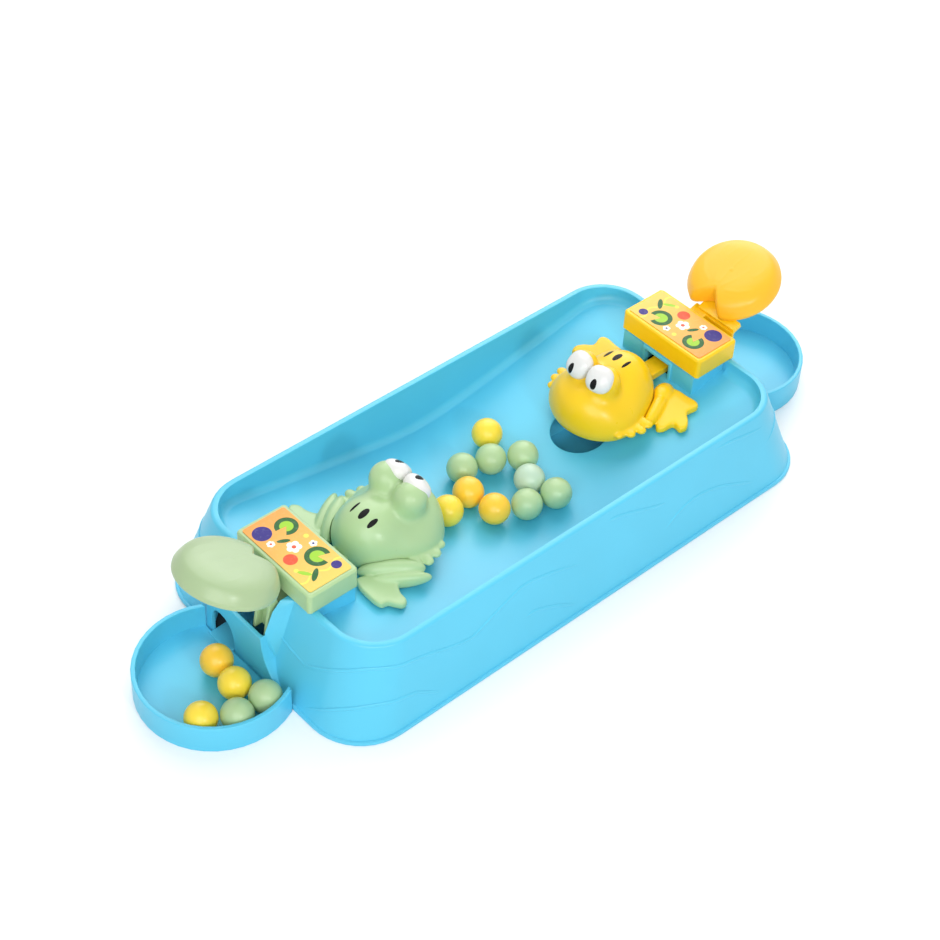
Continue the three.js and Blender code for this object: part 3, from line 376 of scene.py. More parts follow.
def darker(colour, share):
    return tuple(c * share for c in colour)


def plastic(name, colour, rough=0.3, grain=0.05, glow=0.08):
    """Moulded plastic: a faint flow pattern in the colour, rubbed patches and a fine orange-peel skin."""
    sheet = Sheet(name)
    flow = sheet.noise("flow", 3)
    scuffs = sheet.noise("scuffs", 4, 0.62)
    scratches = sheet.noise("scratches", 2)
    skin = sheet.noise("skin", 2)
    brighter = tuple(min(1, c * 1.03 + 0.004) for c in colour)
    body = sheet.mix((flow - 0.35) * 1.6, darker(colour, 0.95), brighter)
    rubbed = sheet.mix((scuffs - 0.62) * 0.7, body, tuple(c * 0.9 + 0.08 for c in colour))
    gloss = rough + (scuffs - 0.5) * 0.1 + (scratches - 0.5) * 0.05
    peel = sheet.bump(skin + flow * 0.6, grain, 2 * FINE_RELIEF)
    sheet.set(Base_Color=rubbed, Roughness=gloss, Normal=peel, IOR=PLASTIC_IOR)
    sheet.set(Subsurface_Weight=glow, Subsurface_Radius=GLOW_DEPTH, Subsurface_Scale=1.0)
    return sheet.material


def paint(name, colour):
    """Stamped paint: nearly even, with a slightly dusty edge."""
    sheet = Sheet(name)
    dust = sheet.noise("dust", 3)
    sheet.set(Base_Color=sheet.mix((dust - 0.62) * 2, colour, tuple(c + 0.008 for c in colour)))
    sheet.set(Roughness=0.5 + (dust - 0.5) * 0.2, Specular_IOR_Level=0.2)
    sheet.set(Normal=sheet.bump(dust, 0.05, FINE_RELIEF))
    return sheet.material


def metal(name, colour):
    """Turned steel with a fine uneven grain."""
    sheet = Sheet(name)
    grain = sheet.noise("steel", 2)
    sheet.set(Base_Color=sheet.mix(grain, darker(colour, 0.82), colour), Metallic=1.0)
    sheet.set(Roughness=0.28 + (grain - 0.5) * 0.2, Normal=sheet.bump(grain, 0.08, FINE_RELIEF))
    return sheet.material


def turned_place(x, y, centre, angle):
    """The two coordinates about a centre, turned by an angle."""
    c, s = math.cos(angle), math.sin(angle)
    dx, dy = x - centre[0], y - centre[1]
    return dx * c + dy * s, dy * c - dx * s


def oval(sheet, x, y, centre, length, width, angle, soft=0.1):
    """Mask of a turned oval."""
    along, over = turned_place(x, y, centre, angle)
    gap = sheet.node("ShaderNodeCombineXYZ", inputs={0: along / length, 1: over / width})
    away = sheet.node("ShaderNodeVectorMath", {"operation": "LENGTH"}, {0: gap}, output=1)
    return away.below(1.0, soft)


def disc(sheet, x, y, centre, radius):
    """Mask of a round dot."""
    return oval(sheet, x, y, centre, radius, radius, 0, 0.16 / radius)


def petals(sheet, x, y, centre, radius, count, turn=0.0):
    """Mask of a flower with round petals."""
    total = None
    for i in range(count):
        angle = turn + i * 2 * math.pi / count
        spot = [c + radius * 0.6 * part for c, part in zip(centre, (math.cos(angle), math.sin(angle)))]
        one = disc(sheet, x, y, spot, radius * 0.46)
        total = one if total is None else total.most(one)
    return total


def leaf(sheet, x, y, centre, radius, angle):
    """Mask of a round leaf with a wedge cut out of it."""
    along, over = turned_place(x, y, centre, angle)
    wedge = (over.maths("ABSOLUTE") - along * 0.55).below(0.0, 0.2)
    return disc(sheet, x, y, centre, radius) * (1 - wedge)


# What is printed, from the bottom layer up: mask, centre, its sizes and turn, and colour
LABEL_ART = (
    (disc, (5.6, -15.2), 4.1, "purple"), (disc, (-6.8, 16.8), 2.2, "purple"), (disc, (5.6, 3.2), 3.0, "red"),
    (disc, (-7.4, -3.2), 1.1, "glow"), (disc, (7.6, 9.4), 1.0, "glow"),
    (leaf, (-3.8, 8.6), 5.4, 2.3, "leaf"), (leaf, (-3.8, 8.6), 3.2, 2.3, "lime"),
    (leaf, (-4.6, -12.4), 5.0, 0.4, "leaf"), (leaf, (-4.6, -12.4), 2.9, 0.4, "lime"),
    (oval, (3.2, 15.8), 3.6, 1.2, 0.7, "leaf"), (oval, (5.9, 12.6), 3.0, 1.0, 2.2, "lime"),
    (oval, (1.4, -6.6), 2.8, 1.0, -0.5, "leaf"),
    (petals, (0.2, -1.4), 3.1, 5, "white"), (disc, (0.2, -1.4), 0.95, "red"),
    (petals, (-7.0, 1.9), 1.7, 5, 0.5, "white"), (disc, (-7.0, 1.9), 0.55, "purple"),
    (petals, (6.4, -8.4), 1.7, 6, 0.2, "white"), (disc, (6.4, -8.4), 0.55, "red"),
)


def printed_card(name, tint, colours):
    """A pond pattern of dots, leaves and flowers, printed on a warm ground."""
    sheet = Sheet(name)
    u = sheet.place("X") * TURN[tint] - LABEL_MIDDLE
    v = sheet.place("Y") * TURN[tint]
    ground = sheet.mix(v / LABEL_LENGTH + 0.5, colours.label_ground, colours.label_light)
    wave = ((u * 0.55).maths("SINE") * 1.3 + v - LABEL_RIPPLE).maths("ABSOLUTE")
    art = sheet.mix(wave.below(0.5, 0.3) * 0.75, ground, colours.label_glow)
    for form, centre, *sizes, colour in LABEL_ART:
        art = sheet.mix(form(sheet, u, v, centre, *sizes), art, getattr(colours, f"label_{colour}"))
    fibres = sheet.noise("fibres", 3)
    art = sheet.mix((fibres - 0.5) * 0.2, art, colours.label_white)
    sheet.set(Base_Color=art, Roughness=0.42 + (fibres - 0.5) * 0.1, Specular_IOR_Level=0.3)
    sheet.set(Normal=sheet.bump(fibres, 0.04, FINE_RELIEF))
    return sheet.material


class PlasticColours(bpy.types.PropertyGroup):
    """Colours of the moulded pieces."""

    tray: colour_property("Tray", "Blue of the tray and cups", "5ac8e9")
    yellow: colour_property("Yellow", "Yellow of one player's frog, lever and cover", "ffd012")
    green: colour_property("Green", "Green of the other player's frog, lever and cover", "afce99")
    pad_yellow: colour_property("Yellow pad", "Yellow of the lily pad", "ffc127")
    pad_green: colour_property("Green pad", "Green of the lily pad", "a8c094")
    white: colour_property("Eye", "White of the eyes", "e9e9e6")
    black: colour_property("Marking", "Black of the pupils and ovals", "050506")
    steel: colour_property("Steel", "Screws and pins", "b9bcc0")
    bead_yellow: colour_property("Yellow bead", "Yellow of the beads", "ffde44")
    bead_amber: colour_property("Amber bead", "Amber of the beads", "ffcc3c")
    bead_green: colour_property("Green bead", "Green of the beads", "b1cf9c")
    bead_pale: colour_property("Pale bead", "Paler green of one bead", "c0dac2")
    label_ground: colour_property("Label ground", "Warm ground of the print", "f4a24e")
    label_light: colour_property("Label light", "Lighter end of the ground", "f2cc60")
    label_glow: colour_property("Label glow", "Yellow dots and ripple", "f8e65a")
    label_purple: colour_property("Label purple", "Purple dots", "24157c")
    label_red: colour_property("Label red", "Red dot and flower hearts", "f4502a")
    label_leaf: colour_property("Label leaf", "Dark green leaves", "0d5a1c")
    label_lime: colour_property("Label lime", "Light green leaves", "9ccf2e")
    label_white: colour_property("Label white", "White petals", "fdfdf6")


class FrogSizes(bpy.types.PropertyGroup):
    """Sizes of the frogs' details."""

    stripe_length: length_property("Oval length", "Length of the painted ovals", 6.2)
    stripe_width: length_property("Oval width", "Width of the thin oval", 1.4)
    middle_width: length_property("Middle oval", "Width of the middle oval", 3.0)
    far_width: length_property("Far oval", "Width of the third oval", 2.1)
    pupil_length: length_property("Pupil length", "Height of the pupils", 5.7)
    pupil_width: length_property("Pupil width", "Width of the pupils", 3.1)
    voxel: length_property("Skin grain", "Size at which the skin is joined", 0.42)


class TraySizes(bpy.types.PropertyGroup):
    """Sizes of the tray's details."""

    edge: length_property("Edge", "Rounding of the tray's and cups' edges", 0.5)
    wave_width: length_property("Wave width", "Width of the embossed waves", 1.7)
    wave_height: length_property("Wave height", "Height of the embossed waves", 0.45)


class BeadSizes(bpy.types.PropertyGroup):
    """Sizes of the beads."""

    seam: length_property("Seam", "Depth of the moulding seam", 0.05)


def colours():
    return bpy.context.scene.frog_colours


def body_of(node):
    for body, members in frame["record"]["behaviour"]["bodies"].items():
        if node in members:
            return body
    raise RuntimeError(f"{node} is on no body")


def at_end(points, tint):
    """Points given in millimetres at the yellow end, as metres at this end."""
    turn = TURN[tint]
    return np.asarray(points, float) * [turn * MM, turn * MM, MM]


def mesh_of(name, points, faces):
    mesh = bpy.data.meshes.new(name)
    mesh.from_pydata([tuple(p) for p in points], [], faces)
    mesh.update()
    return mesh


def placed(name, mesh, body, material, nodes=(), sharp=math.radians(40)):
    """A finished piece: smooth where it is round, riding on its body and standing for its nodes."""
    if not mesh.polygons:
        raise RuntimeError(f"{name} has no faces")
    made = bpy.data.objects.new(name, mesh)
    bpy.context.scene.collection.objects.link(made)
    mesh.materials.clear()
    mesh.materials.append(material)
    mesh.polygons.foreach_set("use_smooth", [True] * len(mesh.polygons))
    mesh.set_sharp_from_angle(angle=sharp)
    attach(made, body)
    if nodes:
        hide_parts(*nodes)
    return made


def evaluated(made, **settings):
    """The mesh that a piece's modifiers leave."""
    bpy.context.view_layer.update()
    depsgraph = bpy.context.evaluated_depsgraph_get()
    return bpy.data.meshes.new_from_object(made.evaluated_get(depsgraph), depsgraph=depsgraph, **settings)


def steadied(made):
    """Weights a piece's normals by face area, so that flat faces stay flat beside rounded edges."""
    modifier = made.modifiers.new("normals", "WEIGHTED_NORMAL")
    modifier.keep_sharp = True
    mesh = evaluated(made, preserve_all_data_layers=True)
    made.modifiers.clear()
    mesh.name = made.name
    made.data = mesh
    return made


def unit(vectors):
    return vectors / np.linalg.norm(vectors, axis=-1, keepdims=True)


def grid_faces(rows, columns, flip=False):
    """Faces between rows of points that close round."""
    faces = []
    for r in range(rows - 1):
        for c in range(columns):
            a = r * columns + c
            b = r * columns + (c + 1) % columns
            face = (a, b, b + columns, a + columns)
            faces.append(face[::-1] if flip else face)
    return faces


def fan_faces(ring, pole, flip=False):
    """Faces from a ring of points to one pole."""
    faces = [(ring[i], ring[(i + 1) % len(ring)], pole) for i in range(len(ring))]
    return [f[::-1] for f in faces] if flip else faces


def closed_faces(rows, columns, flip=True):
    """Faces of rows of points that close round, ended by the two poles that follow them."""
    pole = rows * columns
    faces = grid_faces(rows, columns, flip) + fan_faces(range(columns), pole, not flip)
    return faces + fan_faces(range(pole - columns, pole), pole + 1, flip)


def ball_rays(columns=40, rows=24):
    """Directions all round, in rows from the top and then the two poles, and their faces."""
    turns = np.tile(np.arange(columns) * 2 * math.pi / columns, rows - 1)
    tilts = np.repeat(np.arange(1, rows) * math.pi / rows, columns)
    rays = np.concatenate([rays_at(turns, tilts), [[0, 0, 1.0], [0, 0, -1.0]]])
    return rays, closed_faces(rows - 1, columns)


def oval_grid(half_x, half_y, height, rings, columns):
    """Points of a flat oval in rings, how far each stands out of what it is painted on, and the faces."""
    shares = np.repeat(np.arange(rings + 1) / rings, columns)
    turns = np.tile(np.arange(columns) * 2 * math.pi / columns, rings + 1)
    spots = np.column_stack([half_x * np.cos(turns), half_y * np.sin(turns)]) * shares[:, None]
    lift = height * np.sqrt(np.maximum(1 - shares ** 4, 0)) - PAINT_SINK
    return spots, lift[:, None], grid_faces(rings + 1, columns)


def soft_curve(a, b, c, d, steps):
    """Points of a soft curve from b towards c."""
    t = np.arange(steps)[:, None] / steps
    square, cube = 2 * a - 5 * b + 4 * c - d, 3 * b - a - 3 * c + d
    return 0.5 * (2 * b + (c - a) * t + square * t ** 2 + cube * t ** 3)


def flattened(shape):
    """Joins triangles that lie in one plane into one face."""
    bmesh.ops.remove_doubles(shape, verts=shape.verts, dist=TOUCH * MM)
    bmesh.ops.dissolve_limit(shape, angle_limit=FLAT_ANGLE, verts=shape.verts, edges=shape.edges)
    return shape


def node_bmesh(node):
    """The node's solid, with its triangles joined into flat faces."""
    shape = bmesh.new()
    shape.from_mesh(frame["nodes"][node].data)
    return flattened(shape)


def bevelled(shape, width, least_angle, segments=2):
    """Rounds the sharp outer edges that are long enough to take it."""
    bmesh.ops.triangulate(shape, faces=[face for face in shape.faces if len(face.verts) > 4])
    sharp = []
    for edge in shape.edges:
        if len(edge.link_faces) != 2 or not edge.is_convex or edge.calc_length() < LEAST_EDGE * width:
            continue
        if edge.calc_face_angle(0) > math.radians(least_angle):
            sharp.append(edge)
    bmesh.ops.bevel(
        shape, geom=sharp, offset=width, offset_type="OFFSET", segments=segments, profile=0.5, affect="EDGES",
        clamp_overlap=False)
    return shape


def mesh_from(shape, name):
    mesh = bpy.data.meshes.new(name)
    shape.to_mesh(mesh)
    shape.free()
    # The solids' own normals no longer fit the new faces
    stale = mesh.attributes.get("custom_normal")
    if stale:
        mesh.attributes.remove(stale)
    return mesh


def edged(node, name, width, material, least_angle=32, segments=2):
    """The node's own shape with its edges rounded by a width in millimetres."""
    mesh = mesh_from(bevelled(node_bmesh(node), width * MM, least_angle, segments), name)
    return steadied(placed(name, mesh, body_of(node), material, [node]))


def remeshed(name, points, faces, voxel, rounds):
    """Joins overlapping solids into one skin and softens its creases."""
    raw = mesh_of(name, points, faces)
    helper = bpy.data.objects.new("helper", raw)
    bpy.context.scene.collection.objects.link(helper)
    skin = helper.modifiers.new("skin", "REMESH")
    skin.mode = "VOXEL"
    skin.voxel_size = voxel
    soft = helper.modifiers.new("soft", "SMOOTH")
    soft.factor = 0.5
    soft.iterations = rounds
    made = evaluated(helper)
    bpy.data.objects.remove(helper)
    bpy.data.meshes.remove(raw)
    made.name = name
    return made


def swelling_gap(points, form):
    """How far points lie outside a swelling."""
    centre, radii = (np.array(part, float) for part in form)
    return (np.linalg.norm((points - centre) / radii, axis=1) - 1) * radii.min()


def frog_gap(points, forms):
    total = swelling_gap(points, forms[0])
    for form in forms[1:]:
        other = swelling_gap(points, form)
        share = np.maximum(FROG_BLEND - np.abs(total - other), 0) / FROG_BLEND
        total = np.minimum(total, other) - share ** 2 * FROG_BLEND / 4
    return total


def frog_points(directions, forms, grow):
    """Where rays from the frog's middle leave its surface."""
    near = np.zeros(len(directions))
    far = np.full(len(directions), FROG_REACH)
    for _ in range(HALVINGS):
        middle = (near + far) / 2
        inside = frog_gap(FROG_MIDDLE + directions * middle[:, None], forms) < grow
        near = np.where(inside, middle, near)
        far = np.where(inside, far, middle)
    return FROG_MIDDLE + directions * near[:, None]


def rays_at(turns, tilts):
    return np.stack([np.cos(turns) * np.sin(tilts), np.sin(turns) * np.sin(tilts), np.cos(tilts)], axis=1)


def rim_height(out):
    share = (out - FROG_MIDDLE[0] + FROG_REACH / 2) / FROG_REACH
    return FROG_RIM_FRONT + (FROG_RIM_REAR - FROG_RIM_FRONT) * share


def frog_skin(forms, grow, columns, rows):
    """Rows of points from the frog's top down to its sloping rim."""
    turns = np.arange(columns) * 2 * math.pi / columns
    low, high = (np.full(columns, math.radians(tilt)) for tilt in SKIN_TILTS)
    for _ in range(HALVINGS):
        tilt = (low + high) / 2
        points = frog_points(rays_at(turns, tilt), forms, grow)
        above = points[:, 2] > rim_height(points[:, 0])
        low = np.where(above, tilt, low)
        high = np.where(above, high, tilt)
    tilts = np.concatenate([low * (r + 1) / rows for r in range(rows)])
    return frog_points(rays_at(np.tile(turns, rows), tilts), forms, grow)


def capsule(start, end, radii, flat, columns=20, rows=7):
    """A finger: a tapering round bar with round ends, pressed flat by a share."""
    start, end = np.array(start, float), np.array(end, float)
    along = unit(end - start)
    side = np.cross([0, 0, 1], along)
    up = np.cross(along, side)
    points = []
    for centre, radius, towards in ((start, radii[0], -1), (end, radii[1], 1)):
        for r in range(rows):
            tilt = math.pi / 2 * ((r + 1) / rows if towards < 0 else 1 - r / rows)
            for c in range(columns):
                turn = c * 2 * math.pi / columns
                ring = side * math.cos(turn) + up * math.sin(turn) * flat
                points.append(centre + (along * towards * math.cos(tilt) + ring * math.sin(tilt)) * radius)
    points += [start - along * radii[0], end + along * radii[1]]
    return np.array(points), closed_faces(rows * 2, columns, flip=False)


def joined(parts):
    """Several lists of points and faces as one."""
    points, faces, start = [], [], 0
    for spots, sides in parts:
        points.append(np.asarray(spots, float))
        faces += [tuple(i + start for i in face) for face in sides]
        start += len(spots)
    return np.concatenate(points), faces


def frog_shell_parts(tint):
    """The thin shell and its hands, still as separate closed solids."""
    columns, rows, inner_rows = 160, 100, 40
    outside = frog_skin(FROG_FORMS[tint], 0, columns, rows)
    inside = frog_skin(FROG_SWELLINGS, -FROG_WALL, columns, inner_rows)
    inside = inside.reshape(inner_rows, columns, 3)[::-1].reshape(-1, 3)
    up = np.array([[0, 0, 1.0]])
    poles = [frog_points(up, FROG_FORMS[tint], 0), frog_points(up, FROG_SWELLINGS, -FROG_WALL)]
    parts = [(np.concatenate([outside, inside, *poles]), closed_faces(rows + inner_rows, columns))]
    root_out, root_wide = FINGER_ROOT
    for side in SIDES.values():
        parts.append(ellipsoid((*PALM, HAND_HEIGHT), PALM_SIZE, PALM_SWING, side))
        for out, wide in FINGER_TIPS:
            root_x = root_out + (out - root_out) * FINGER_ROOT_SHARE
            root = (root_x, side * root_wide, HAND_HEIGHT + FINGER_SLOPE)
            parts.append(capsule(root, (out, side * wide, HAND_HEIGHT), FINGER_RADII, FINGER_FLAT))
    return joined(parts)


def ellipsoid(centre, radii, swing, side):
    """A smooth lobe swung about the upright axis."""
    rays, faces = ball_rays()
    angle = math.radians(swing) * side
    c, s = math.cos(angle), math.sin(angle)
    turned = (rays * radii) @ np.array([[c, s, 0], [-s, c, 0], [0, 0, 1]])
    return turned + np.array(centre) * [1, side, 1], faces


def closed_curve(knots, steps=8):
    """A soft closed curve through the knots."""
    knots = np.array(knots, float)
    around = zip(*(np.roll(knots, -k, axis=0) for k in (-1, 0, 1, 2)))
    return np.concatenate([soft_curve(*four, steps) for four in around])


def foot_part(tint, side):
    """Webbed foot: a plate that follows the floor, with a soft edge."""
    curve = closed_curve(FOOT_OUTLINE[tint])
    middle = curve.mean(axis=0)
    rings = [(middle + (curve - middle) * share, rise) for share, rise in FOOT_PROFILE]
    rings += [(middle[None], 0), (middle[None], FOOT_THICK + FOOT_CROWN)]
    points = [
        np.column_stack([ring[:, 0], ring[:, 1] * side, floor_at(ring[:, 0]) + FOOT_LIFT + rise])
        for ring, rise in rings
    ]
    return np.concatenate(points), closed_faces(len(FOOT_PROFILE), len(curve), side < 0)


def leg_mesh(name, tint, side):
    """Folded leg and foot in one skin, clear of the body and the floor."""
    points, faces = joined([*(ellipsoid(*lobe, side) for lobe in LEG_LOBES[tint]), foot_part(tint, side)])
    mesh = remeshed(name, at_end(points, tint), faces, LEG_VOXEL * MM, LEG_ROUNDS)
    spots = np.empty(len(mesh.vertices) * 3)
    mesh.vertices.foreach_get("co", spots)
    spots = spots.reshape(-1, 3) / MM * [TURN[tint], TURN[tint], 1]
    spots[:, 2] = np.maximum(spots[:, 2], floor_at(spots[:, 0]) + FOOT_LIFT)
    inside = frog_gap(spots, FROG_FORMS[tint]) < LEG_GAP
    spots[inside] = frog_points(unit(spots[inside] - FROG_MIDDLE), FROG_FORMS[tint], LEG_GAP)
    mesh.vertices.foreach_set("co", at_end(spots, tint).ravel())
    mesh.update()
    return mesh


def painted_patch(name, centre, across, length, width, tint):
    """A thin painted oval that follows the frog's back."""
    flat, lift, faces = oval_grid(length / 2, width / 2, STRIPE_PAINT, 6, 40)
    spots = np.column_stack([flat + [centre, across], np.full(len(flat), STRIPE_HEIGHT)])
    for _ in range(4):
        rays = unit(spots - FROG_MIDDLE)
        found = frog_points(rays, FROG_FORMS[tint], 0)
        spots[:, 2] = found[:, 2]
    return mesh_of(name, at_end(found + rays * lift, tint), faces)


def eye_frame(side):
    """Centre and directions of one eye: where it looks, across and up."""
    mirror = [1, side, 1]
    look = unit(np.array(EYE_LOOK) * mirror)
    over = unit(np.cross([0, 0, 1], look))
    return np.array(EYE_CENTRE) * mirror, look, over, np.cross(look, over)


def eye_points(eye, directions):
    """Points of a flattened ball with slightly square sides."""
    centre, look, over, up = eye
    local = np.stack([directions @ look, directions @ over, directions @ up], axis=1)
    local = np.abs(local) / [EYE_DEPTH, EYE_RADIUS, EYE_RADIUS]
    scale = (local ** EYE_SQUARE).sum(axis=1) ** (-1 / EYE_SQUARE)
    return centre + directions * scale[:, None]


def eyeball(name, tint, side):
    """A slightly flattened ball, smoother than its solid."""
    eye = eye_frame(side)
    rays, faces = ball_rays()
    directions = rays[:, 2:3] * eye[1] + rays[:, 0:1] * eye[2] + rays[:, 1:2] * eye[3]
    return mesh_of(name, at_end(eye_points(eye, directions), tint), faces)


def pupil(name, tint, side, length, width):
    """A thin dark oval laid on the eyeball."""
    eye = eye_frame(side)
    aim = unit(np.array(PUPIL_LOOK[tint]) * [1, side, 1])
    wide = unit(np.cross([0, 0, 1], aim))
    flat, lift, faces = oval_grid(width / 2, length / 2, PUPIL_PAINT, 5, 32)
    base = eye_points(eye, aim[None]) - eye[0]
    rays = unit(base + flat[:, :1] * wide + flat[:, 1:] * np.cross(aim, wide))
    return mesh_of(name, at_end(eye_points(eye, rays) + rays * lift, tint), faces)


def pad_edge(turns):
    """Distance from the pad's centre to its notched outline, with softened corners."""
    down = np.abs(np.sin(turns)) + np.cos(turns) * PAD_NOTCH_SLOPE
    crossed = down < -1e-6
    notch = np.where(crossed, PAD_NOTCH_APEX * PAD_NOTCH_SLOPE / np.where(crossed, down, -1), FAR)
    reach = np.minimum(PAD_RADIUS, notch)
    window = np.hanning(9)
    window /= window.sum()
    return np.convolve(np.concatenate([reach[-4:], reach, reach[:4]]), window, mode="valid")


def vein_height(points):
    """Height of the raised veins at points seen from above."""
    nearest = np.full(len(points), FAR)
    for line in VEINS:
        for start, end in zip(line, line[1:]):
            a, d = np.array(start), np.subtract(end, start)
            share = np.clip((points - a) @ d / (d @ d), 0, 1)
            nearest = np.minimum(nearest, np.linalg.norm(points - a - share[:, None] * d, axis=1))
    return VEIN_HEIGHT * np.exp(-(nearest / VEIN_WIDTH) ** 2)


def pad_layers(turns, wall, rows=40):
    """Rings of the dome from its edge to near its middle, a wall's thickness inside the outline."""
    edge = pad_edge(turns)
    layers = []
    for r in range(rows):
        share = 1 - (r / rows) ** PAD_ROW_POWER
        radius = (edge - wall) * share
        x, y = radius * np.cos(turns), radius * np.sin(turns)
        bow = np.minimum(np.hypot(x, y) / (PAD_RADIUS - wall), 1)
        near = np.clip((1 - share) * edge / PAD_SOFT, 0, 1)
        dome = np.sqrt(np.maximum(1 - bow ** PAD_BOW_POWER, 0)) * np.sqrt(1 - (1 - near) ** 2)
        rise = (PAD_RISE - wall) * dome
        if wall == 0:
            rise = rise + vein_height(np.column_stack([x, y])) * near
        layers.append(np.column_stack([x, y, rise]))
    return layers


def pad_mesh(name, tint, columns=192):
    """Domed pad with a soft edge, raised veins and a hollow underside."""
    turns = np.arange(columns) * 2 * math.pi / columns
    outside, inside = pad_layers(turns, 0), pad_layers(turns, PAD_WALL)
    foot, inner_foot = (layers[0] * [1, 1, 0] - [0, 0, PAD_RIM] for layers in (outside, inside))
    soft = foot * [PAD_FOOT_SHARE, PAD_FOOT_SHARE, 1]
    layers = [*outside[::-1], foot + [0, 0, PAD_FOOT_SOFT], soft, inner_foot, *inside]
    points = np.concatenate([*layers, [[0, 0, PAD_RISE + PAD_CROWN]], [[0, 0, PAD_RISE - PAD_WALL]]])
    c, s = math.cos(PAD_TILT), math.sin(PAD_TILT)
    tilted = points @ np.array([[c, 0, s], [0, 1, 0], [-s, 0, c]])
    return mesh_of(name, at_end(tilted + PAD_CENTRE, tint), closed_faces(len(layers), columns))


def floor_at(x):
    """Height of the valley floor."""
    return FLOOR_LOW + np.hypot(FLOOR_BLEND, FLOOR_SLOPE * x) - FLOOR_BLEND


def seamless_tray():
    """Both halves of the tray as one moulding, without the fine seams between its solids."""
    shape = bmesh.new()
    for tint in TINTS:
        for part in TRAY_PARTS:
            shape.from_mesh(frame["nodes"][f"{tint}_{part}"].data)
    flattened(shape)
    low, high = WELL_SEAM
    for vert in shape.verts:
        if abs(vert.co.x) < MIDDLE_SEAM * MM:
            vert.co.x = 0
        if abs(vert.co.z - low * MM) < 2 * TOUCH * MM:
            vert.co.z = high * MM
    bmesh.ops.remove_doubles(shape, verts=shape.verts, dist=TOUCH * MM)

    def hidden(face):
        across = all(abs(v.co.x) < TOUCH / 10 * MM for v in face.verts)
        return across or all(abs(v.co.z - high * MM) < 2 * TOUCH * MM for v in face.verts)

    bmesh.ops.delete(shape, geom=[face for face in shape.faces if hidden(face)], context="FACES")
    flattened(shape)
    known = set(shape.verts)
    for tint in TINTS:
        shape.from_mesh(frame["nodes"][f"{tint}_pedestal"].data)
    for vert in shape.verts:
        if vert not in known and vert.co.z < (floor_at(vert.co.x / MM) + NEAR) * MM:
            vert.co.z -= PEDESTAL_SINK * MM
    return flattened(shape)


def fine_valley(shape):
    """Cuts the floor's top into narrow strips that follow the valley's curve closely."""
    def floor_faces():
        return [
            face for face in shape.faces if face.normal.z > LEVEL
            and all(abs(v.co.z / MM - floor_at(v.co.x / MM)) < NEAR for v in face.verts)
        ]

    known = sorted({
        round(vert.co.x / MM, 2) for face in floor_faces() for vert in face.verts
        if abs(abs(vert.co.y) / MM - WELL[1]) < 10 * TOUCH and abs(vert.co.x) < VALLEY_REACH * MM
    })
    cuts = []
    for a, b in zip(known, known[1:]):
        count = math.ceil((b - a) / VALLEY_STRIP)
        cuts += [a + (b - a) * i / count for i in range(1, count)]
    for cut in cuts:
        top = floor_faces()
        around = {edge for face in top for edge in face.edges} | {vert for face in top for vert in face.verts}
        bmesh.ops.bisect_plane(
            shape, geom=[*top, *around], dist=TOUCH / 10 * MM, plane_co=(cut * MM, 0, 0),
            plane_no=(1, 0, 0))
    for vert in {vert for face in floor_faces() for vert in face.verts}:
        vert.co.z = floor_at(vert.co.x / MM) * MM
    return shape


def rounded_outline(length, width, corner, steps=14, gap=6.0):
    """Points and outward directions round a rectangle with round corners."""
    spots = []
    for quarter, (sx, sy) in enumerate(((1, 1), (-1, 1), (-1, -1), (1, -1))):
        for i in range(steps + 1):
            turn = (quarter + i / steps) * math.pi / 2
            out = (math.cos(turn), math.sin(turn))
            x, y = sx * (length - corner) + corner * out[0], sy * (width - corner) + corner * out[1]
            spots.append((x, y, *out))
    dense = []
    for a, b in zip(spots, spots[1:] + spots[:1]):
        count = max(1, round(math.hypot(b[0] - a[0], b[1] - a[1]) / gap))
        dense += [tuple(p + (q - p) * i / count for p, q in zip(a, b)) for i in range(count)]
    return dense


def fillet_mesh(name):
    """Soft hollow corner where the well's wall meets its floor, left open at the pedestals."""
    open_gap = PEDESTAL_SIDE
    rows = [row for row in rounded_outline(*WELL) if abs(row[2]) <= LEVEL or abs(row[1]) >= PEDESTAL_SIDE]
    breaks = [i for i in range(len(rows)) if math.dist(rows[i - 1][:2], rows[i][:2]) > open_gap]
    rows = rows[breaks[0]:] + rows[:breaks[0]]
    points, normals, faces = [], [], []
    for x, y, out_x, out_y in rows:
        for i in range(FILLET_STEPS + 1):
            turn = i / FILLET_STEPS * math.pi / 2
            inset = WELL_FILLET * (1 - math.sin(turn)) - FILLET_SINK
            spot = (x - out_x * inset, y - out_y * inset)
            rise = WELL_FILLET * (1 - math.cos(turn)) + FILLET_SINK
            points.append((*spot, floor_at(spot[0]) + rise))
            slope = floor_at(spot[0] + 0.5) - floor_at(spot[0] - 0.5)
            up = Vector((-slope, 0, 1)).normalized()
            normals.append(up * math.cos(turn) - Vector((out_x, out_y, 0)) * math.sin(turn))
    step = FILLET_STEPS + 1
    for r in range(len(rows) - 1):
        if math.dist(rows[r][:2], rows[r + 1][:2]) <= open_gap:
            faces += [(a + 1, a + step + 1, a + step, a) for a in range(r * step, r * step + FILLET_STEPS)]
    return mesh_of(name, np.array(points) * MM, faces), normals


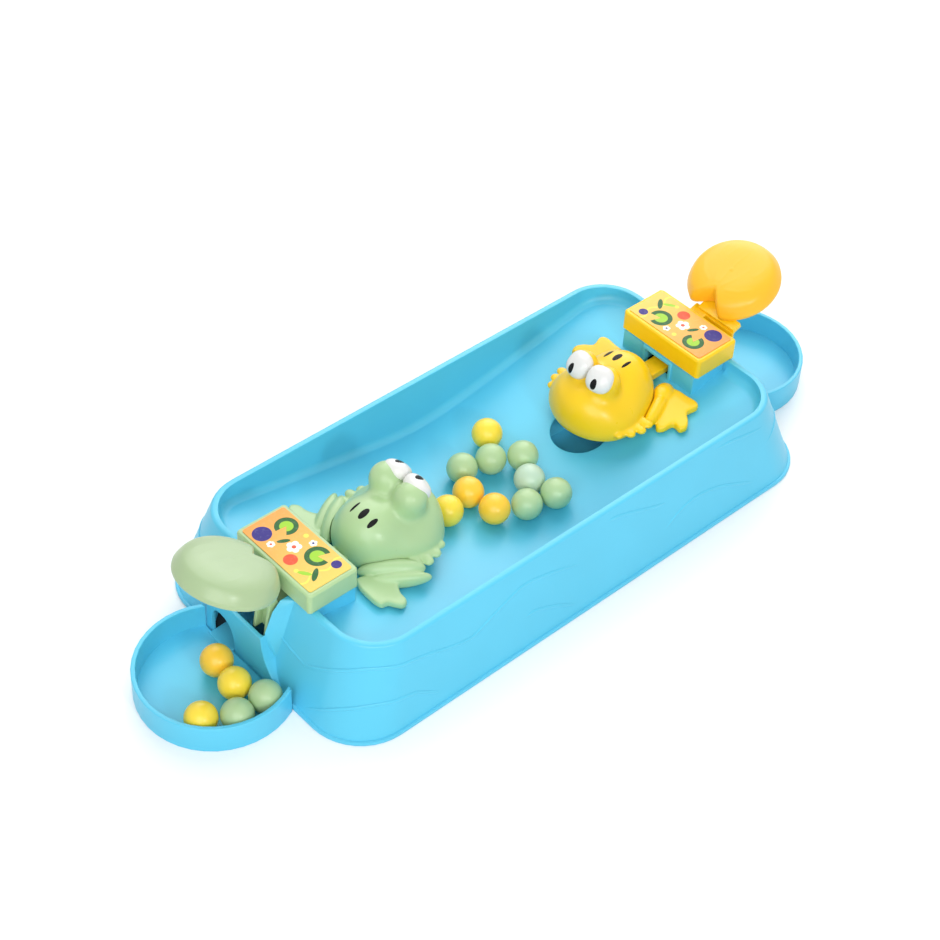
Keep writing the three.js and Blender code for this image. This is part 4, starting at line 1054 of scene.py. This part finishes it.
def skirt_spot(distance, height):
    """A point on the skirt and its outward direction, going round from the green end."""
    share = (height - SKIRT_FROM) / (SKIRT_TO - SKIRT_FROM)
    length, width, corner = (a + (b - a) * share for a, b in zip(SKIRT_FOOT, SKIRT_RIM))
    whole = 2 * (END_RUN + CORNER_RUN) + SIDE_RUN
    # The yellow half mirrors the green one
    near = min(distance, whole - distance)
    side = 1 if distance == near else -1
    if near < END_RUN:
        spot, out = (-length, -near * (width - corner) / END_RUN), (-1, 0)
    elif near < END_RUN + CORNER_RUN:
        turn = (near - END_RUN) / CORNER_RUN * math.pi / 2
        out = (-math.cos(turn), -math.sin(turn))
        spot = (corner * (1 + out[0]) - length, corner * (1 + out[1]) - width)
    else:
        along = (near - END_RUN - CORNER_RUN) / SIDE_RUN * 2 - 1
        spot, out = (along * (length - corner), -width), (0, -1)
    return (spot[0] * side, spot[1], height), (out[0] * side, out[1])


def smooth_path(knots, steps=7):
    """A soft curve through the knots."""
    knots = np.array(knots, float)
    knots = [2 * knots[0] - knots[1], *knots, 2 * knots[-1] - knots[-2]]
    fours = zip(knots, knots[1:], knots[2:], knots[3:])
    return np.concatenate([*(soft_curve(*four, steps) for four in fours), knots[-2][None]])


def wave_part(knots, width, height):
    """One embossed wave: a low rounded ridge with tapering ends."""
    path = [skirt_spot(*spot) for spot in smooth_path(knots)]
    spots = [np.array(spot) for spot, _ in path]
    last = len(path) - 1
    points = []
    for i, (_, out) in enumerate(path):
        spot, tangent = spots[i], unit(spots[min(i + 1, last)] - spots[max(i - 1, 0)])
        normal = unit(np.array([*out, SKIRT_LEAN]))
        across = np.cross(normal, tangent)
        taper = math.sin(min(i, last - i, WAVE_TAPER) / WAVE_TAPER * math.pi / 2)
        for c in range(WAVE_COLUMNS):
            turn = c / (WAVE_COLUMNS - 1) * math.pi
            shift = across * math.cos(turn) * width / 2 * (0.25 + 0.75 * taper)
            points.append(spot + shift + normal * (math.sin(turn) * height * taper - WAVE_SINK))
        points.append(spot - normal * WAVE_ROOT)
    count = WAVE_COLUMNS + 1
    ends = [tuple(range(count))[::-1], tuple(range(last * count, (last + 1) * count))]
    return points, grid_faces(len(path), count) + ends


def bead_mesh(name, node, seam):
    """A moulded ball with a faint seam and a tiny gate mark, turned by its place."""
    low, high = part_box(node)
    centre = (low + high) / 2
    radius = (high - low).z / 2
    shape = bmesh.new()
    bmesh.ops.create_icosphere(shape, subdivisions=5, radius=radius)
    turns = ((centre.x * BEAD_TURNS[0], "X"), (centre.y * BEAD_TURNS[1], "Y"))
    first, second = (Matrix.Rotation(turn % math.pi, 3, axis) for turn, axis in turns)
    gate_spot = Vector((radius, 0, 0))
    for vert in shape.verts:
        ring = math.exp(-(vert.co.z / radius / SEAM_SHARE) ** 2)
        gate = 3 * math.exp(-((vert.co - gate_spot).length / radius / GATE_SHARE) ** 2)
        vert.co = first @ second @ (vert.co * (1 - seam * (gate + 1 - ring) / radius))
    bmesh.ops.translate(shape, verts=shape.verts, vec=centre)
    return mesh_from(shape, name)


class TrayOperator(bpy.types.Operator):
    """Rounds the tray's edges and embosses waves on its skirt"""

    bl_idname = "froggame.tray"
    bl_label = "Tray"

    def execute(self, context):
        sizes = context.scene.frog_tray
        blue = plastic("tray_plastic", colours().tray, 0.34, 0.05, 0)
        mesh = mesh_from(fine_valley(bevelled(seamless_tray(), sizes.edge, 32)), "tray_shell")
        nodes = [f"{tint}_{part}" for tint in TINTS for part in (*TRAY_PARTS, "pedestal")]
        steadied(placed("tray_shell", mesh, "tray", blue, nodes))
        mesh, normals = fillet_mesh("well_fillet")
        placed("well_fillet", mesh, "tray", blue, sharp=math.pi)
        mesh.normals_split_custom_set_from_vertices(normals)
        width, height = sizes.wave_width / MM, sizes.wave_height / MM
        points, faces = joined([wave_part(knots, width, height) for knots in WAVES])
        for side, turn in (("near", 1), ("far", -1)):
            mesh = mesh_of(f"waves_{side}", points * [turn * MM, turn * MM, MM], faces)
            placed(f"waves_{side}", mesh, "tray", blue)
        return {"FINISHED"}


class CupOperator(bpy.types.Operator):
    """Rounds the edges of the two cups and their chutes"""

    bl_idname = "froggame.cups"
    bl_label = "Bean cups"

    def execute(self, context):
        blue = bpy.data.materials["tray_plastic"]
        width = context.scene.frog_tray.edge / MM
        for tint in TINTS:
            edged(f"{tint}_bean_cup", f"{tint}_cup_shell", width, blue, segments=3)
        return {"FINISHED"}


class CoverOperator(bpy.types.Operator):
    """Dresses the cover blocks"""

    bl_idname = "froggame.covers"
    bl_label = "Covers"

    def execute(self, context):
        for tint in TINTS:
            skin = plastic(f"{tint}_plastic", getattr(colours(), tint))
            edged(f"{tint}_cover", f"{tint}_cover_block", 0.5, skin)
        return {"FINISHED"}


class LabelOperator(bpy.types.Operator):
    """Prints the pond pattern on the covers' plates"""

    bl_idname = "froggame.labels"
    bl_label = "Labels"

    def execute(self, context):
        for tint in TINTS:
            card = printed_card(f"{tint}_label_print", tint, colours())
            edged(f"{tint}_label", f"{tint}_label_plate", 0.12, card, 60)
        return {"FINISHED"}


class LeverOperator(bpy.types.Operator):
    """Dresses the levers, pins and screws"""

    bl_idname = "froggame.levers"
    bl_label = "Levers and fasteners"

    def execute(self, context):
        steel = metal("fastener_steel", colours().steel)
        for tint in TINTS:
            skin = bpy.data.materials[f"{tint}_plastic"]
            edged(f"{tint}_lever", f"{tint}_lever_arm", 0.35, skin)
            edged(f"{tint}_axle", f"{tint}_axle_pin", 0.3, steel, 60)
            for side in SIDES:
                for kind in ("cover", "chute"):
                    node = f"{tint}_{side}_{kind}_screw"
                    edged(node, f"{node}_body", 0.25, steel, 60)
        return {"FINISHED"}


class PadOperator(bpy.types.Operator):
    """Builds the domed lily pads with their veins"""

    bl_idname = "froggame.pads"
    bl_label = "Lily pads"

    def execute(self, context):
        for tint in TINTS:
            name, slot = f"{tint}_pad_dome", f"pad_{tint}"
            skin = plastic(f"{tint}_pad_plastic", getattr(colours(), slot), 0.32, 0.05, 0.1)
            placed(name, pad_mesh(name, tint), f"{tint}_rocker", skin, [f"{tint}_lily_pad"])
        return {"FINISHED"}


class FrogOperator(bpy.types.Operator):
    """Builds the frogs' bodies with their hands, and paints the ovals on their backs"""

    bl_idname = "froggame.frogs"
    bl_label = "Frogs"

    def execute(self, context):
        sizes = context.scene.frog_sizes
        ink = paint("marking_ink", colours().black)
        widths = [width / MM for width in (sizes.stripe_width, sizes.middle_width, sizes.far_width)]
        for tint in TINTS:
            skin = bpy.data.materials[f"{tint}_plastic"]
            name, body = f"{tint}_frog_body", f"{tint}_rocker"
            points, faces = frog_shell_parts(tint)
            mesh = remeshed(name, at_end(points, tint), faces, sizes.voxel, SKIN_ROUNDS)
            placed(name, mesh, body, skin, [f"{tint}_frog_shell"], SOFT_SHARP)
            for i, (across, width) in enumerate(zip(STRIPE_ROWS, widths)):
                name = f"{tint}_stripe_{i + 1}"
                length = sizes.stripe_length / MM
                patch = painted_patch(name, STRIPE_PLACE[tint], across, length, width, tint)
                placed(name, patch, body, ink)
        return {"FINISHED"}


class LegOperator(bpy.types.Operator):
    """Softens the folded legs and webbed feet"""

    bl_idname = "froggame.legs"
    bl_label = "Hind legs"

    def execute(self, context):
        for tint in TINTS:
            skin = bpy.data.materials[f"{tint}_plastic"]
            for word, side in SIDES.items():
                node = f"{tint}_{word}_leg"
                mesh = leg_mesh(f"{node}_skin", tint, side)
                placed(f"{node}_skin", mesh, f"{tint}_rocker", skin, [node], SOFT_SHARP)
        return {"FINISHED"}


class EyeOperator(bpy.types.Operator):
    """Builds the eyeballs and their pupils"""

    bl_idname = "froggame.eyes"
    bl_label = "Eyes"

    def execute(self, context):
        sizes = context.scene.frog_sizes
        length, width = sizes.pupil_length / MM, sizes.pupil_width / MM
        white = plastic("eye_white", colours().white, 0.16, 0.02, 0)
        ink = bpy.data.materials["marking_ink"]
        for tint in TINTS:
            body = f"{tint}_rocker"
            for word, side in SIDES.items():
                node = f"{tint}_{word}_eye"
                ball, dark = f"{node}_ball", f"{node}_pupil"
                placed(ball, eyeball(ball, tint, side), body, white, [node])
                placed(dark, pupil(dark, tint, side, length, width), body, ink)
        return {"FINISHED"}


class BeadOperator(bpy.types.Operator):
    """Builds the beads"""

    bl_idname = "froggame.beads"
    bl_label = "Beads"

    def execute(self, context):
        seam = context.scene.frog_beads.seam
        skins = {}
        for part in frame["record"]["behaviour"]["bodies"]:
            if "_bead_" not in part:
                continue
            slot = frame["nodes"][part].material_slots[0].material.name.split(".")[0]
            if slot not in skins:
                skins[slot] = plastic(f"{slot}_plastic", getattr(colours(), slot), 0.3, 0.03, 0.15)
            mesh = bead_mesh(f"{part}_ball", part, seam)
            placed(f"{part}_ball", mesh, part, skins[slot], [part])
        return {"FINISHED"}


class StageOperator(bpy.types.Operator):
    """Sets up the pale floor, the soft lights and the camera"""

    bl_idname = "froggame.stage"
    bl_label = "Stage"

    def execute(self, context):
        self.floor()
        self.world(context)
        for name, (spot, size, power) in LAMPS.items():
            light = bpy.data.lights.new(name, "AREA")
            light.shape = "DISK"
            light.size = size
            light.energy = power
            made = self.linked(name, light)
            made.location = spot
            made.rotation_euler = (-Vector(spot)).to_track_quat("-Z", "Y").to_euler()
        lens = bpy.data.cameras.new("view")
        lens.lens = LENS
        lens.sensor_width = 36
        lens.clip_start = 0.01
        made = self.linked("view", lens)
        made.rotation_mode = "QUATERNION"
        made.rotation_quaternion = Matrix(VIEW_AXES).transposed().to_quaternion().normalized()
        made.location = VIEW_PLACE
        context.scene.camera = made
        context.scene.view_settings.view_transform = "Standard"
        return {"FINISHED"}

    def linked(self, name, data):
        made = bpy.data.objects.new(name, data)
        bpy.context.scene.collection.objects.link(made)
        return made

    def floor(self):
        points = [(x * GROUND, y * GROUND, 0) for x, y in ((-1, -1), (1, -1), (1, 1), (-1, 1))]
        ground = self.linked("floor", mesh_of("floor", points, [(0, 1, 2, 3)]))
        sheet = Sheet("floor_paper")
        # Painted shade: the ground is painted dark under the tray, where little light gets in and it shows
        # only through the slots and doorways
        length, width, corner = UNDER_TRAY
        over_x = (sheet.place("X").maths("ABSOLUTE") - length).most(0)
        over_y = (sheet.place("Y").maths("ABSOLUTE") - width).most(0)
        painted_shade_mask = (over_x ** 2 + over_y ** 2).below(corner ** 2, corner)
        paper = sheet.mix(sheet.noise("paper", 2), *PAPER)
        sheet.set(Base_Color=sheet.mix(painted_shade_mask, paper, UNDER_TRAY_PAINTED_SHADE), Roughness=0.9)
        # A little light of its own, seen by the camera alone, keeps the paper white outside the painted shade
        # under the tray
        seen = sheet.node("ShaderNodeLightPath") * (1 - painted_shade_mask)
        sheet.set(Emission_Color=sheet.mix(seen, (0, 0, 0), PAPER_SEEN), Emission_Strength=1.0)
        ground.data.materials.append(sheet.material)

    def world(self, context):
        """White where it is seen or mirrored, and softer where it lights the part."""
        world = bpy.data.worlds.new("studio")
        world.use_nodes = True
        nodes, links = world.node_tree.nodes, world.node_tree.links
        rays = nodes.new("ShaderNodeLightPath")
        level = nodes.new("ShaderNodeMix")
        level.inputs[2].default_value = SKY_LIGHT
        level.inputs[3].default_value = SKY_SEEN
        seen = rays.outputs["Is Camera Ray"]
        for kind in ("Is Glossy Ray", "Is Transmission Ray"):
            step = nodes.new("ShaderNodeMath")
            step.operation = "MAXIMUM"
            links.new(seen, step.inputs[0])
            links.new(rays.outputs[kind], step.inputs[1])
            seen = step.outputs[0]
        links.new(seen, level.inputs[0])
        background = nodes["Background"]
        background.inputs[0].default_value = (1, 1, 1, 1)
        links.new(level.outputs[0], background.inputs[1])
        context.scene.world = world


OPERATORS = (
    TrayOperator, CupOperator, CoverOperator, LabelOperator, LeverOperator, PadOperator, FrogOperator,
    LegOperator, EyeOperator, BeadOperator, StageOperator,
)
GROUPS = {
    "frog_colours": PlasticColours, "frog_sizes": FrogSizes, "frog_tray": TraySizes, "frog_beads": BeadSizes,
}


class FrogGamePanel(bpy.types.Panel):
    """Lists the game's pieces and settings"""

    bl_idname = "VIEW3D_PT_frog_game"
    bl_label = "Frog game"
    bl_space_type = "VIEW_3D"
    bl_region_type = "UI"
    bl_category = "Frog game"

    def draw(self, context):
        for name, group in GROUPS.items():
            box = self.layout.box()
            for prop in group.__annotations__:
                box.prop(getattr(context.scene, name), prop)
        for operator in OPERATORS:
            self.layout.operator(operator.bl_idname)


def register():
    for group in GROUPS.values():
        bpy.utils.register_class(group)
    for name, group in GROUPS.items():
        setattr(bpy.types.Scene, name, bpy.props.PointerProperty(type=group))
    for made in (*OPERATORS, FrogGamePanel):
        bpy.utils.register_class(made)


def unregister():
    for made in (FrogGamePanel, *reversed(OPERATORS)):
        bpy.utils.unregister_class(made)
    for name, group in reversed(GROUPS.items()):
        delattr(bpy.types.Scene, name)
        bpy.utils.unregister_class(group)


def main():
    register()
    for operator in OPERATORS:
        group, name = operator.bl_idname.split(".")
        getattr(getattr(bpy.ops, group), name)()


if __name__ == "__main__":
    main()
